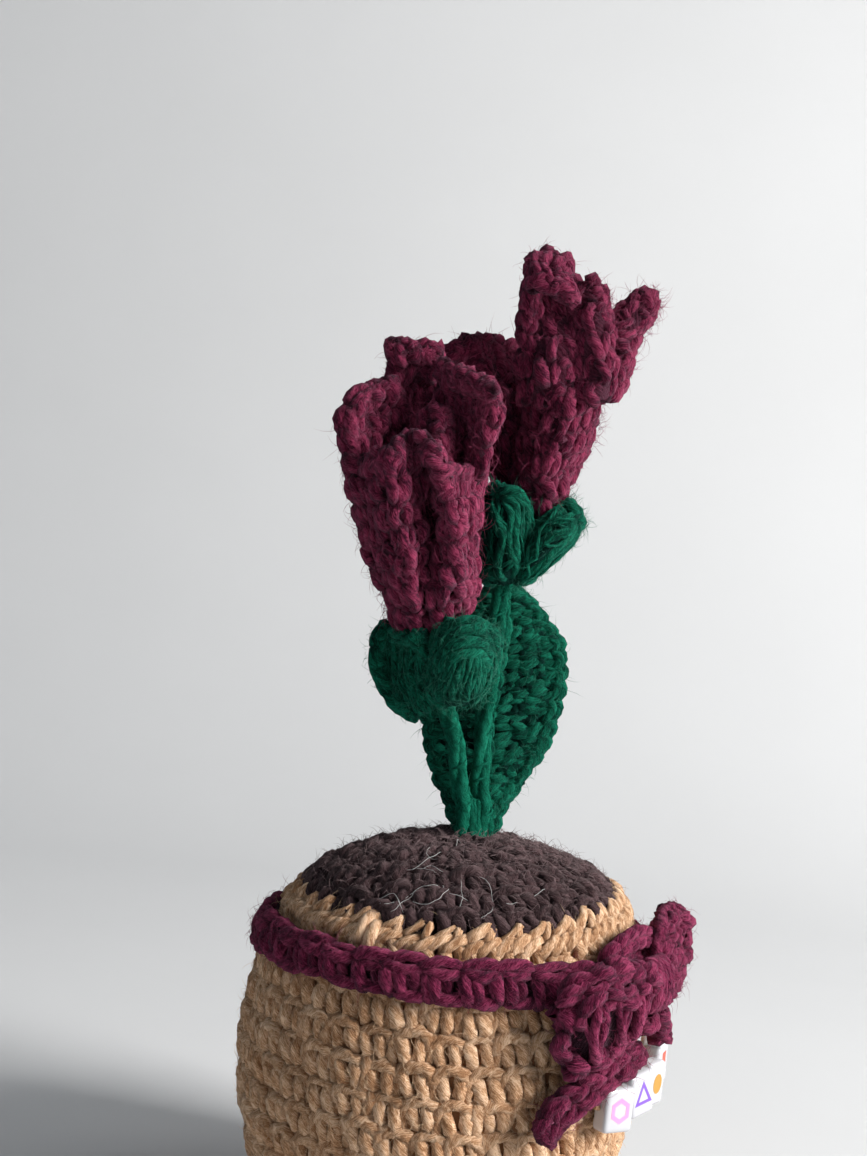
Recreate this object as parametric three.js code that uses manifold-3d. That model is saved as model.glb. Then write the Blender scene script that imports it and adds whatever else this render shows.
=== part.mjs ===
// Crocheted potted freesia: tan crochet pot, brown crochet soil, wrapped wire stems, one leaf,
// two trumpet flowers, a band with a bow, and five beads strung under the bow.
// Millimetres, +Z up. Origin: centre of the pot's flat base. Front is -Y.
import * as THREE from 'three';
import * as BufferGeometryUtils from 'three/addons/utils/BufferGeometryUtils.js';
import Module from 'manifold-3d';

const wasm = await Module();
wasm.setup();

// ---- driving dimensions -------------------------------------------------
const GAP = 0.3;            // clearance between touching pieces
const POT_T = 2.4;          // crochet wall of the pot and the soil
const FABRIC_T = 2.2;       // crochet sheet of petals, bracts, leaf and bow
const POT_SEGMENTS = 48;
// outer profile of the pot, [radius, height]
const POT_PROFILE = [[18.6, 0], [23.2, 2.5], [26.6, 9], [29, 18], [29.9, 26], [29.7, 34], [28.8, 41], [27.5, 46.4], [26.6, 49.2], [25.2, 51.4]];
// outer profile of the soil dome, from the rim to the apex
const SOIL_PROFILE = [[25, 51.7], [23.4, 53.8], [20.2, 56.2], [14.5, 58.6], [7.5, 60.2], [0, 60.6]];
const POT_SHIFT = 0.7;      // the belly sits this far to the left of the base
const RIM_SHIFT = 0.8;      // the soil sits this far to the right of the base
const RIM_TILT = 0.035;     // and rises towards the right
const STIFFENER_R = 16.5;   // plastic canvas disc that keeps the base flat
const STIFFENER_T = 1.2;
const BAND_Z = 45.3;        // middle height of the band
const BAND_H = 5.6;
const BAND_T = 1.9;
const BAND_R_IN = [28.75, 27.55];  // inner radius at the band's lower and upper edge
const STEM_R = 1.2;         // yarn-wrapped stem
const WRAP_BORE_R = 0.9;
const WIRE_R = 0.6;
const WIRE_FOOT_Z = 22;     // wires end inside the stuffing
const SOIL_SEAT_Z = 56.6;   // the wraps start just below the soil's surface
const BEAD_W = 5.2;         // bead, wide
const BEAD_H = 6.4;         // bead, high
const BEAD_D = 2.9;         // bead, thick
const BEAD_BORE_R = 0.9;
const THREAD_R = 0.5;
const BEAD_R = 32.4;        // beads' distance from the pot's axis
// beads: [angle from the front towards +X, angle its face looks at, height]
const BEADS = [[48.9, 34, 27.8], [59.6, 47, 29.3], [70.4, 58, 28.4], [83, 68, 30], [95, 82, 31.5]];
const KNOT = [28.9, -17.9, 45.0];       // middle of the bow's knot
const KNOT_SIZE = [2.3, 2.6, 3.9];      // half sizes: radial, tangential, vertical

const STEM_RIGHT = [[2.9, -0.2, 20], [2.9, -0.2, 60], [1.6, 0, 69.4], [1.3, 0, 78.7], [1.5, 0, 84.9], [1.8, 0, 91.1], [1.6, 0, 99.4], [3.2, 0.8, 104.5], [5.6, 1.6, 108.6]];
const STEM_LEFT = [[0.1, -1.4, 20], [0.1, -1.4, 60], [-1.3, -1.6, 67.8], [-2.3, -3.5, 72.5], [-3.5, -6.5, 77.2], [-5.2, -9.3, 81.3], [-6.8, -11.2, 85.5], [-7.8, -12.2, 89.6]];

// Control points of the crochet sheets: rows run from the root to the tip, columns from one side to the other.
const FLOWER_LEFT_TUBE = [
  [[-14, -13, 91.7], [-12.7, -16, 91.3], [-11.2, -18, 91.1], [-10, -18.5, 91.4], [-8.7, -18.1, 92], [-7.4, -18.5, 92.6], [-6.1, -18, 93.4], [-4.6, -16, 94.2], [-3.2, -12.5, 95.2], [-4.4, -8, 93.5], [-8.1, -5.5, 91.8], [-12.3, -8, 91.4]],
  [[-15.4, -12, 96], [-13.9, -17.5, 95.6], [-12, -20.5, 95.7], [-10.3, -20.5, 96.3], [-8.8, -19.6, 96.8], [-7.1, -21, 97.1], [-5.6, -20.5, 97.5], [-3.9, -17, 98.1], [-2.5, -12, 98.8], [-3.8, -6, 97.6], [-8.9, -3.5, 96.2], [-14, -6, 95.7]],
  [[-18.5, -12, 100.9], [-16.2, -19, 100.5], [-13.6, -22.5, 100.6], [-11.3, -22, 101.3], [-9.2, -18.3, 102.3], [-7.4, -22, 102.3], [-5.7, -22.5, 102.7], [-4.2, -18.5, 103.5], [-3.1, -12, 104.6], [-4.1, -5, 103.6], [-10.3, -2, 102.2], [-17, -5, 101.2]],
  [[-20.6, -12.5, 105.7], [-18, -20, 105.5], [-14.9, -24, 105.6], [-12.2, -23, 106.4], [-10, -16.5, 107.7], [-8, -23.5, 107.6], [-6, -24, 107.9], [-4.2, -19.5, 108.7], [-2.8, -12, 109.7], [-3.7, -4, 109.3], [-11.3, -0.5, 107.5], [-18.8, -4, 106.2]],
  [[-22.3, -13, 110.8], [-19.6, -21, 110.4], [-16.5, -25, 110.5], [-13.6, -24.5, 111.6], [-11.4, -17.8, 113.1], [-9.5, -25, 112.4], [-7.3, -25, 112.1], [-5.1, -20, 112.8], [-3.4, -12, 114.3], [-4.3, -3.5, 115], [-12.4, 0, 114.4], [-20.6, -4, 112.1]],
  [[-23.1, -14.5, 114.6], [-20.5, -21.5, 115.2], [-17.8, -25.5, 115.8], [-15.4, -26, 116.9], [-13.6, -23.4, 118.3], [-11.5, -26, 116.9], [-9, -25.5, 115.1], [-6.3, -20.5, 115.4], [-4, -12.5, 116.9], [-5, -3.5, 120.3], [-13, 0, 120.5], [-21.4, -4.5, 117]],
];
const FLOWER_LEFT_PETAL_LEFT = [
  [[-19.4, -19, 108.9], [-18.4, -16.2, 109.5], [-17.2, -13.8, 110], [-15.9, -11.8, 110.5], [-14.5, -10.2, 111]],
  [[-22.4, -19.5, 114.3], [-20.8, -16.6, 114.7], [-18.8, -14, 115.2], [-16.7, -12, 115.9], [-14.8, -10.6, 116.6]],
  [[-23.6, -19.5, 118.1], [-21.8, -16.8, 118.6], [-19.7, -14.2, 119.4], [-17.3, -12.2, 120.2], [-15.1, -11, 121.2]],
  [[-23.5, -19, 121.6], [-21.9, -16.8, 122.4], [-20.1, -14.6, 123.2], [-18, -12.8, 124.1], [-15.9, -11.6, 124.9]],
  [[-22.4, -17.5, 124.3], [-21.2, -16.2, 125.4], [-19.9, -14.8, 126.4], [-18.6, -13.6, 127.3], [-17.2, -12.6, 127.9]],
];
const FLOWER_LEFT_PETAL_BACK = [
  [[-15.9, -6.5, 110.6], [-14.5, -5.2, 110.8], [-12.8, -4.6, 111], [-10.9, -5, 111.2], [-9.4, -6.2, 111.3]],
  [[-17.1, -7, 118], [-15.5, -5.2, 118.4], [-13.6, -4.4, 118.9], [-11.5, -4.8, 119.1], [-9.6, -6, 119]],
  [[-18, -8, 124.6], [-16.3, -6.4, 125.1], [-14.3, -5.6, 125.5], [-12, -5.6, 125.7], [-9.9, -6.6, 125.7]],
  [[-18.6, -9.5, 129], [-16.9, -8.8, 129.2], [-14.8, -8.4, 129.4], [-12.6, -8, 129.9], [-10.4, -8.4, 130.3]],
  [[-18.7, -10.6, 131.8], [-17.5, -11, 132.5], [-15.5, -10.8, 132], [-13.5, -10.4, 132.8], [-11.2, -10.2, 132.2]],
  [[-18.4, -11.2, 133.1], [-17.6, -12, 133.6], [-15.7, -11.8, 132.5], [-13.7, -11.2, 133.6], [-11.9, -10.8, 132.8]],
];
const FLOWER_LEFT_PETAL_RIGHT = [
  [[-7.9, -9, 110.6], [-6.7, -9.5, 110.7], [-5.6, -11, 110.9], [-4.7, -13.5, 111.2], [-4.4, -16.5, 111.6]],
  [[-8.9, -8.6, 116.5], [-7.2, -9.6, 116.6], [-5.6, -11.6, 116.8], [-4.4, -14.6, 117], [-3.8, -18, 117.5]],
  [[-9.9, -9, 121.6], [-7.7, -10.6, 121.7], [-5.6, -13.2, 121.7], [-3.7, -16.6, 121.7], [-2.9, -19.6, 122.1]],
  [[-10.5, -10, 125.9], [-8.3, -12, 125.9], [-5.7, -15, 125.6], [-3.6, -18.4, 125.2], [-2.2, -20.8, 125.2]],
  [[-10.7, -11.4, 129], [-8.7, -13.8, 128.8], [-6.3, -17, 127.9], [-4.1, -20, 126.8], [-2.7, -21.6, 126.3]],
  [[-10.5, -12.6, 131.1], [-8.7, -15.2, 130.3], [-6.6, -18, 129.2], [-4.8, -20.6, 127.9], [-3.6, -21.8, 127.1]],
];
const FLOWER_LEFT_PETAL_INNER = [
  [[-12.2, -14, 110.7], [-11.1, -15.2, 110.7], [-10, -15.6, 110.8], [-8.8, -15.2, 111], [-7.8, -14, 111.1]],
  [[-12.8, -14.6, 115.5], [-11.7, -16.8, 115.6], [-10.5, -17.6, 115.9], [-9.4, -16.8, 116], [-8.2, -15, 116.1]],
  [[-12.8, -14.8, 119.7], [-11.8, -17, 120], [-10.8, -17.8, 120.1], [-9.8, -17, 120.3], [-8.8, -15.2, 120.1]],
  [[-12.4, -14.6, 123], [-11.8, -15.8, 123.7], [-11, -16.2, 124.2], [-10.2, -15.8, 124], [-9.4, -15, 123.3]],
];
const FLOWER_RIGHT_TUBE = [
  [[5.4, 2, 111.4], [5.8, -2, 110.8], [7.2, -4, 110.7], [8.8, -2.5, 111.6], [9.9, 1.5, 112.8], [9.6, 5.5, 112], [8.1, 7.5, 111.6], [6.4, 6, 111.3]],
  [[2.9, 2, 113.8], [4, -3, 113.2], [6.3, -5.5, 113], [8.7, -4, 113.9], [10.3, 1, 115.3], [10, 6.5, 114.9], [7.6, 9, 114.1], [4.5, 7, 113.9]],
  [[1.4, 2, 116.9], [3, -4, 116.1], [6, -7, 115.9], [9.2, -5, 117.1], [11.3, 0.5, 118.8], [10.7, 7.5, 118.5], [7.3, 10.5, 117.7], [3.2, 8, 117.1]],
  [[2.1, 2, 121.5], [3.7, -4.5, 120.7], [7, -7.5, 120.5], [10.7, -5.5, 121.6], [13.6, 0, 123.3], [12.7, 8.5, 123.1], [8.6, 11.5, 122.4], [4.3, 8.5, 121.7]],
  [[2.1, 2, 126.1], [4, -5, 125.2], [7.6, -8, 125], [11.4, -6, 126.2], [14.2, 0, 128.3], [13.3, 9, 128.2], [9.1, 12, 127.4], [4.3, 9, 126.6]],
  [[1.8, 2, 130.6], [3.8, -5.5, 129.5], [7.5, -8.5, 129.4], [11.6, -6.5, 130.4], [14.7, 0, 132.1], [13.5, 9.5, 132.4], [9.2, 12.5, 132], [4.2, 9.5, 131.4]],
];
const FLOWER_RIGHT_PETAL_HOOD = [
  [[1.6, -2, 128], [3.3, -5, 127.6], [5.5, -6.5, 127.3], [7.7, -6.2, 127.6], [9.8, -4.4, 128.3]],
  [[0.9, -4.6, 133], [2.5, -6, 132.8], [4.8, -8, 132.5], [7.2, -8, 132.6], [9.2, -5, 133.3]],
  [[0.4, -6.4, 137.2], [2.2, -5, 137.6], [4.6, -6.5, 137.3], [6.8, -7, 137.4], [8.7, -4.6, 137.9]],
  [[0.6, -7.6, 141.1], [2.5, -4.2, 142.2], [4.3, -4, 142.6], [6.4, -4.6, 142.4], [8.3, -4.8, 142.1]],
  [[0.9, -8, 144.2], [2.4, -3.8, 145.6], [4, -3.2, 146], [6, -3.8, 145.8], [7.6, -6, 144.7]],
  [[0.9, -7.2, 147.2], [2.1, -4.4, 148.8], [3.5, -3.8, 149.4], [4.9, -4.6, 148.7], [6.3, -7, 146.6]],
  [[0.8, -9.8, 147], [1.9, -8.6, 148.3], [3.2, -8.4, 148.8], [4.6, -8.8, 148.2], [6.1, -9.8, 146.4]],
  [[0.8, -11.2, 144.7], [2.2, -11.8, 145.1], [3.8, -12, 144.9], [5.5, -11.8, 144.5], [7.1, -11, 143.9]],
  [[0.9, -11, 143.4], [2.5, -11.8, 143.3], [4.2, -12, 143.2], [6.1, -11.6, 142.8], [7.9, -10.2, 142.4]],
];
const FLOWER_RIGHT_PETAL_RIDGE = [
  [[10.5, -5.6, 128.6], [11.4, -6.8, 128.2], [12.6, -7, 128.3], [13.8, -5.6, 128.9], [14.9, -3, 129.9]],
  [[10, -5.2, 133.9], [10.9, -7.4, 133.4], [12.2, -8.2, 133.4], [13.5, -6.8, 134.2], [14.6, -3.8, 135.3]],
  [[9.6, -5, 138.4], [10.4, -7.4, 138], [11.6, -8.4, 138], [12.8, -7, 138.6], [13.8, -4, 139.7]],
  [[8.8, -5.2, 142.4], [9.7, -7.4, 142.4], [10.5, -8.2, 142.4], [11.7, -7, 142.2], [12.7, -4.4, 142.2]],
  [[8.1, -5.6, 144.8], [8.6, -7.2, 145.3], [9.5, -7.8, 145.6], [10.5, -7, 145.3], [11.7, -4.8, 144.6]],
];
const FLOWER_RIGHT_PETAL_RIGHT = [
  [[13.7, 3, 130.6], [13.8, 0, 129.8], [14.3, -2.5, 129.3], [14.6, -3, 129.7], [15.2, -1, 130.8]],
  [[13.6, 2.5, 137.6], [14.1, -1, 136.2], [14.9, -4, 134.7], [15.9, -4, 134], [16.9, -1, 134.7]],
  [[13.7, 0, 141.9], [14.3, -2.5, 140.2], [15.2, -5, 138.5], [16.1, -4.5, 137.6], [16.9, -1, 137.6]],
  [[15.1, -3, 143.9], [16, -2.5, 143.1], [16.7, -4.5, 141.6], [17.6, -4, 140.6], [18.7, -0.5, 140.5]],
  [[17.5, -3.5, 145.4], [18.1, -2.5, 145.2], [18.6, -3, 144.2], [19.1, -2.5, 143.4], [19.7, -0.5, 143]],
  [[20, -1.5, 146.3], [20.1, -1.8, 146.1], [20.1, -1.9, 145.8], [20.2, -1.7, 145.5], [20.1, -1.3, 145.1]],
];
const FLOWER_RIGHT_PETAL_LEFT = [
  [[-0.4, 4, 115.2], [0.4, 3, 114.8], [1.5, 3, 114.6], [2.6, 4, 114.8], [3.6, 5, 114.9]],
  [[-1.7, 4.5, 120.5], [-0.8, 3, 120.2], [0.3, 3.5, 120], [1.6, 5.5, 120.3], [2.9, 7.5, 120.9]],
  [[-4.2, 4, 126.1], [-2.8, 2.6, 126], [-1.1, 3, 126.1], [0.8, 5.5, 126.7], [2.6, 8, 127.4]],
  [[-7.5, 3, 130.4], [-5.5, 1.6, 130.4], [-3.2, 2, 130.7], [-0.7, 4.5, 131.4], [1.6, 7.5, 132.5]],
  [[-10.2, 1.6, 133.1], [-7.9, 0.6, 133.8], [-5.2, 1, 134.3], [-2.2, 4, 135], [0.4, 7, 135.5]],
  [[-10.8, 0.6, 134.4], [-8.8, -0.4, 135.9], [-6, 0.2, 137.2], [-2.9, 3.2, 137.3], [-0.3, 6.5, 137.3]],
];
const FLOWER_RIGHT_PETAL_BACK = [
  [[2.9, 11, 129.5], [5.5, 12.5, 130], [8.6, 13, 130.3], [11.7, 12, 130.9], [14, 10, 131.4]],
  [[2, 13, 136.1], [4.9, 15, 136.7], [8.4, 15.5, 137.1], [11.7, 14.5, 137.7], [14.1, 11.5, 138.2]],
  [[1.7, 14, 141.9], [4.7, 16, 143], [8.1, 16.5, 143.8], [11.1, 15, 143.6], [13.4, 12, 142.7]],
  [[2.6, 15.5, 145.5], [5, 17, 147.2], [7.9, 17.5, 148.2], [10.3, 16, 147.4], [12.2, 13.5, 145.7]],
];
const BRACT_RIGHT_FRONT = [
  [[0.2, -1, 100.5], [0.9, -3.5, 100.2], [1.8, -4.5, 100.1], [2.7, -3.5, 100.5], [3.6, -1, 101.2]],
  [[-1.7, 2, 102.8], [-0.8, -5, 102.3], [1.4, -8.5, 102.2], [3.3, -7, 102.8], [4.7, -2, 103.8]],
  [[-2.3, 3, 106.5], [-1.3, -6, 106], [0.9, -10, 106], [3.2, -8.5, 106.7], [4.7, -3, 107.7]],
  [[-2.2, 3, 110.9], [-1.3, -5.5, 110.5], [0.6, -9.5, 110.4], [2.6, -8.5, 110.8], [4.1, -4, 111.2]],
  [[-2, 3, 114.1], [-1.5, -2, 114.3], [-0.4, -6, 114.5], [0.9, -8, 113.8], [2.3, -7, 112.8]],
];
const BRACT_RIGHT_SIDE = [
  [[2.4, -2, 101.1], [2.7, -3.5, 100.8], [3, -4, 100.5], [3.5, -3.5, 100.4], [4, -1, 100.5]],
  [[5, -3, 105.3], [5, -6.5, 104.5], [5.3, -8, 103.5], [5.9, -6.5, 102.7], [6.5, -2, 102.4]],
  [[6.7, -4, 108.8], [6.8, -7.5, 107.8], [7.5, -9, 106.5], [8.1, -7.5, 105.4], [9, -2.5, 105.1]],
  [[9, -3.5, 111.4], [9.4, -6.5, 110.4], [10, -8, 109.2], [10.6, -6.5, 108.3], [11.3, -2, 108]],
  [[11.2, -1, 113.2], [11.5, -3, 112.7], [12, -4, 112], [12.4, -3, 111.2], [12.9, -0.5, 110.5]],
];
const BRACT_LEFT_SIDE = [
  [[-10.6, -13, 80], [-9.8, -13.5, 79.5], [-9, -14, 79.4], [-8.2, -14.5, 80.1], [-7.8, -15, 81.2]],
  [[-13.8, -12, 82.2], [-12.4, -11, 81.7], [-10.8, -13, 82], [-9.1, -15, 82.8], [-7.6, -16, 83.5]],
  [[-15.9, -12.5, 85.6], [-14.5, -9.5, 85.4], [-12.2, -11.5, 85.6], [-9.9, -15.5, 86.2], [-8, -17.5, 86.7]],
  [[-16.3, -13, 88.8], [-15, -10, 88.8], [-12.7, -12, 89], [-10.3, -16.5, 89.3], [-8.3, -18.5, 89.6]],
  [[-15.5, -12, 92], [-14.7, -10.5, 92.3], [-13.1, -14, 91.8], [-11.1, -18.5, 91.4], [-9.2, -19.5, 91.4]],
];
const BRACT_LEFT_FRONT = [
  [[-6.4, -15, 82.1], [-5.2, -16, 81.7], [-3.7, -16.5, 81.7], [-2.3, -16, 82], [-1.2, -14.5, 82.6]],
  [[-7.5, -16, 84.6], [-6.1, -19, 84.5], [-3.8, -20, 84.6], [-1.4, -19, 85.2], [0.2, -15, 86]],
  [[-7.7, -17, 87.9], [-6.3, -20.5, 87.9], [-3.8, -22, 88.1], [-1.1, -20, 88.7], [1.1, -15, 89.4]],
  [[-7.3, -17, 90.8], [-6.1, -20.5, 91], [-3.7, -22, 91.4], [-1.1, -20, 91.5], [1.1, -15, 91.3]],
  [[-6.6, -17.5, 92.7], [-5.5, -19.5, 93.6], [-3.7, -20.5, 94.1], [-1.6, -18.5, 93.7], [0.2, -15, 92.5]],
];
const LEAF = [
  [[-0.1, 2.5, 60.2], [0.8, 2.6, 60], [1.7, 2.7, 60.1], [2.8, 2.6, 60.2], [3.7, 2.5, 60.6]],
  [[-2.8, 6, 65.1], [-0.6, 4.8, 65], [1.8, 3.8, 65.4], [4.4, 4.2, 66.1], [6.6, 5, 67]],
  [[-5.4, 8, 70.1], [-1.9, 6.2, 70.4], [1.9, 4.4, 70.8], [6.4, 4.8, 71.7], [10, 6, 72.9]],
  [[-7.3, 9, 75.9], [-2.9, 6.8, 76.4], [1.9, 4.8, 77.1], [7.4, 5.2, 77.8], [12.1, 6.5, 78.8]],
  [[-7.6, 8.5, 81.8], [-3.2, 6.8, 82.7], [1.7, 5, 83.5], [7.8, 5.4, 84.3], [13, 7, 85.5]],
  [[-6.2, 8, 88.1], [-2.6, 6.8, 88.8], [1.9, 5.4, 89.5], [7.5, 5.8, 89.9], [12.3, 7.5, 90.7]],
  [[-3.3, 8, 94.3], [-0.8, 7.2, 94.9], [2.3, 6.4, 95.2], [6, 6.8, 95], [9.1, 8, 94.9]],
  [[-0, 8.5, 98], [1.2, 8, 98.7], [2.8, 7.7, 99.4], [4.3, 8, 99.2], [5.5, 8.5, 98.4]],
];
const BOW_LOOP_LEFT = [
  [[28.2, -18.3, 47.4], [28.6, -18.3, 45.7], [29, -18.2, 44], [28.9, -17.9, 42], [28.8, -17.3, 40]],
  [[23.9, -23.9, 48.8], [24, -25.5, 46.2], [24, -26, 43.2], [23.8, -25.7, 40.3], [23.7, -24.1, 37.7]],
  [[19.6, -27.8, 48.7], [19.4, -29.8, 45.9], [19.5, -30.3, 42.4], [19.9, -29.2, 38.9], [20.5, -27.1, 35.9]],
  [[16.5, -29.2, 46.8], [16.2, -30.6, 43.9], [16.2, -31, 40.6], [16.9, -29.9, 37.3], [18.3, -27.9, 34.5]],
  [[15, -29.4, 45.2], [14.9, -29.7, 42.6], [15, -29.6, 39.6], [15.8, -29.2, 36.5], [17.2, -28.1, 34.2]],
];
const BOW_TAIL_LEFT = [
  [[26.5, -20.1, 37.1], [27.3, -18.9, 36], [28.2, -17.1, 34.7]],
  [[22.2, -24.7, 35.1], [23.5, -23.7, 34], [24.9, -21.6, 32.5]],
  [[17.6, -28.4, 32.8], [19.1, -27.7, 31.6], [20.3, -26.2, 30.2]],
  [[14.6, -29.8, 30.4], [16.3, -29.1, 29.3], [18, -27.7, 27.8]],
  [[13.1, -30, 27.5], [14.5, -29.7, 26.8], [15.9, -28.7, 25.9]],
  [[13.9, -29.5, 24.9], [14.5, -29.2, 24.6], [15, -28.9, 24.4]],
];
const BOW_LOOP_RIGHT = [
  [[28.4, -14, 47.9], [28.9, -14.5, 46.3], [29.3, -15, 44.7], [29.6, -14.5, 42.9], [29.5, -14, 41.4]],
  [[29.4, -10, 50.7], [29.9, -12, 48.9], [30.4, -13, 46.7], [30.9, -12.5, 44], [31.1, -10.5, 41.4]],
  [[30.3, -5, 52.1], [31.3, -7, 50.4], [31.9, -8.5, 47.9], [32.3, -8.5, 44.8], [32.6, -6.5, 41.5]],
  [[31.5, 0, 52.6], [33, -1.5, 51.5], [33.6, -3, 49.2], [33.7, -3.5, 45.5], [33.8, -1.5, 41.3]],
  [[33.1, 5, 52.1], [34.7, 4.5, 51.3], [35.2, 3.5, 49], [34.9, 3, 45.5], [34.8, 4.5, 40.9]],
];
const BOW_TAIL_RIGHT = [
  [[29, -13, 40.4], [29.8, -13.6, 40.5], [31, -12.4, 40.4]],
  [[29.7, -11, 38.6], [30.5, -11.8, 38.7], [31.7, -10.4, 38.7]],
  [[30.6, -8.6, 36.7], [31.3, -9.4, 36.9], [32.4, -8, 36.8]],
  [[31.4, -6, 34.8], [32, -6.8, 34.9], [33.1, -5.4, 34.8]],
];

// ---- small helpers ------------------------------------------------------
const V = (p) => new THREE.Vector3(p[0], p[1], p[2]);

function catmull(a, b, c, d, t) {
  const t2 = t * t, t3 = t2 * t;
  return 0.5 * (2 * b + (c - a) * t + (2 * a - 5 * b + 4 * c - d) * t2 + (3 * b - a - 3 * c + d) * t3);
}

// one coordinate line through control values, open or closed, s in control steps
function lineAt(get, n, s, closed) {
  let i = Math.floor(s);
  if (!closed) i = Math.max(0, Math.min(n - 2, i));
  const t = s - i;
  const at = (k) => {
    if (closed) return get(((k % n) + n) % n);
    if (k < 0) { const a = get(0), b = get(1); return [2 * a[0] - b[0], 2 * a[1] - b[1], 2 * a[2] - b[2]]; }
    if (k > n - 1) { const a = get(n - 1), b = get(n - 2); return [2 * a[0] - b[0], 2 * a[1] - b[1], 2 * a[2] - b[2]]; }
    return get(k);
  };
  const A = at(i - 1), B = at(i), C = at(i + 1), D = at(i + 2);
  return [0, 1, 2].map((c) => catmull(A[c], B[c], C[c], D[c], t));
}

// point of a control grid at u (across, 0..1) and v (along, 0..1)
function gridPoint(grid, u, v, closed = false) {
  const rows = grid.length, cols = grid[0].length;
  const su = u * (closed ? cols : cols - 1), sv = v * (rows - 1);
  return lineAt((r) => lineAt((c) => grid[r][c], cols, su, closed), rows, sv, false);
}

function gridNormal(grid, u, v, closed = false) {
  const e = 0.01;
  const u0 = closed ? u - e : Math.max(0, u - e), u1 = closed ? u + e : Math.min(1, u + e);
  const v0 = Math.max(0, v - e), v1 = Math.min(1, v + e);
  const a = V(gridPoint(grid, u1, v, closed)).sub(V(gridPoint(grid, u0, v, closed)));
  const b = V(gridPoint(grid, u, v1, closed)).sub(V(gridPoint(grid, u, v0, closed)));
  return a.cross(b).normalize();
}

function meshGeometry(points, faces) {
  const geometry = new THREE.BufferGeometry();
  geometry.setAttribute('position', new THREE.Float32BufferAttribute(points.flat(), 3));
  geometry.setIndex(faces.flat());
  return geometry;
}

function toManifold(geometry) {
  let g = geometry.clone();
  for (const name of Object.keys(g.attributes)) if (name !== 'position') g.deleteAttribute(name);
  g = BufferGeometryUtils.mergeVertices(g, 1e-4);
  const position = g.attributes.position, index = g.index;
  const vertProperties = new Float32Array(position.array);
  const triangles = [];
  for (let i = 0; i < index.count; i += 3) {
    const a = index.getX(i), b = index.getX(i + 1), c = index.getX(i + 2);
    if (a !== b && b !== c && c !== a) triangles.push(a, b, c);
  }
  const triVerts = new Uint32Array(triangles);
  let solid = new wasm.Manifold(new wasm.Mesh({ numProp: 3, vertProperties, triVerts }));
  if (solid.volume() < 0) {
    for (let i = 0; i < triVerts.length; i += 3) { const t = triVerts[i]; triVerts[i] = triVerts[i + 1]; triVerts[i + 1] = t; }
    solid = new wasm.Manifold(new wasm.Mesh({ numProp: 3, vertProperties, triVerts }));
  }
  return solid;
}

function largest(solid) {
  const pieces = solid.decompose();
  return pieces.reduce((a, b) => (b.volume() > a.volume() ? b : a));
}

function fromManifold(solid) {
  const mesh = solid.getMesh();
  const n = mesh.numProp, count = mesh.vertProperties.length / n;
  const points = new Float32Array(count * 3);
  for (let i = 0; i < count; i++) for (let c = 0; c < 3; c++) points[i * 3 + c] = mesh.vertProperties[i * n + c];
  const geometry = new THREE.BufferGeometry();
  geometry.setAttribute('position', new THREE.BufferAttribute(points, 3));
  geometry.setIndex(new THREE.BufferAttribute(new Uint32Array(mesh.triVerts), 1));
  geometry.computeVertexNormals();
  return geometry;
}

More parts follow.
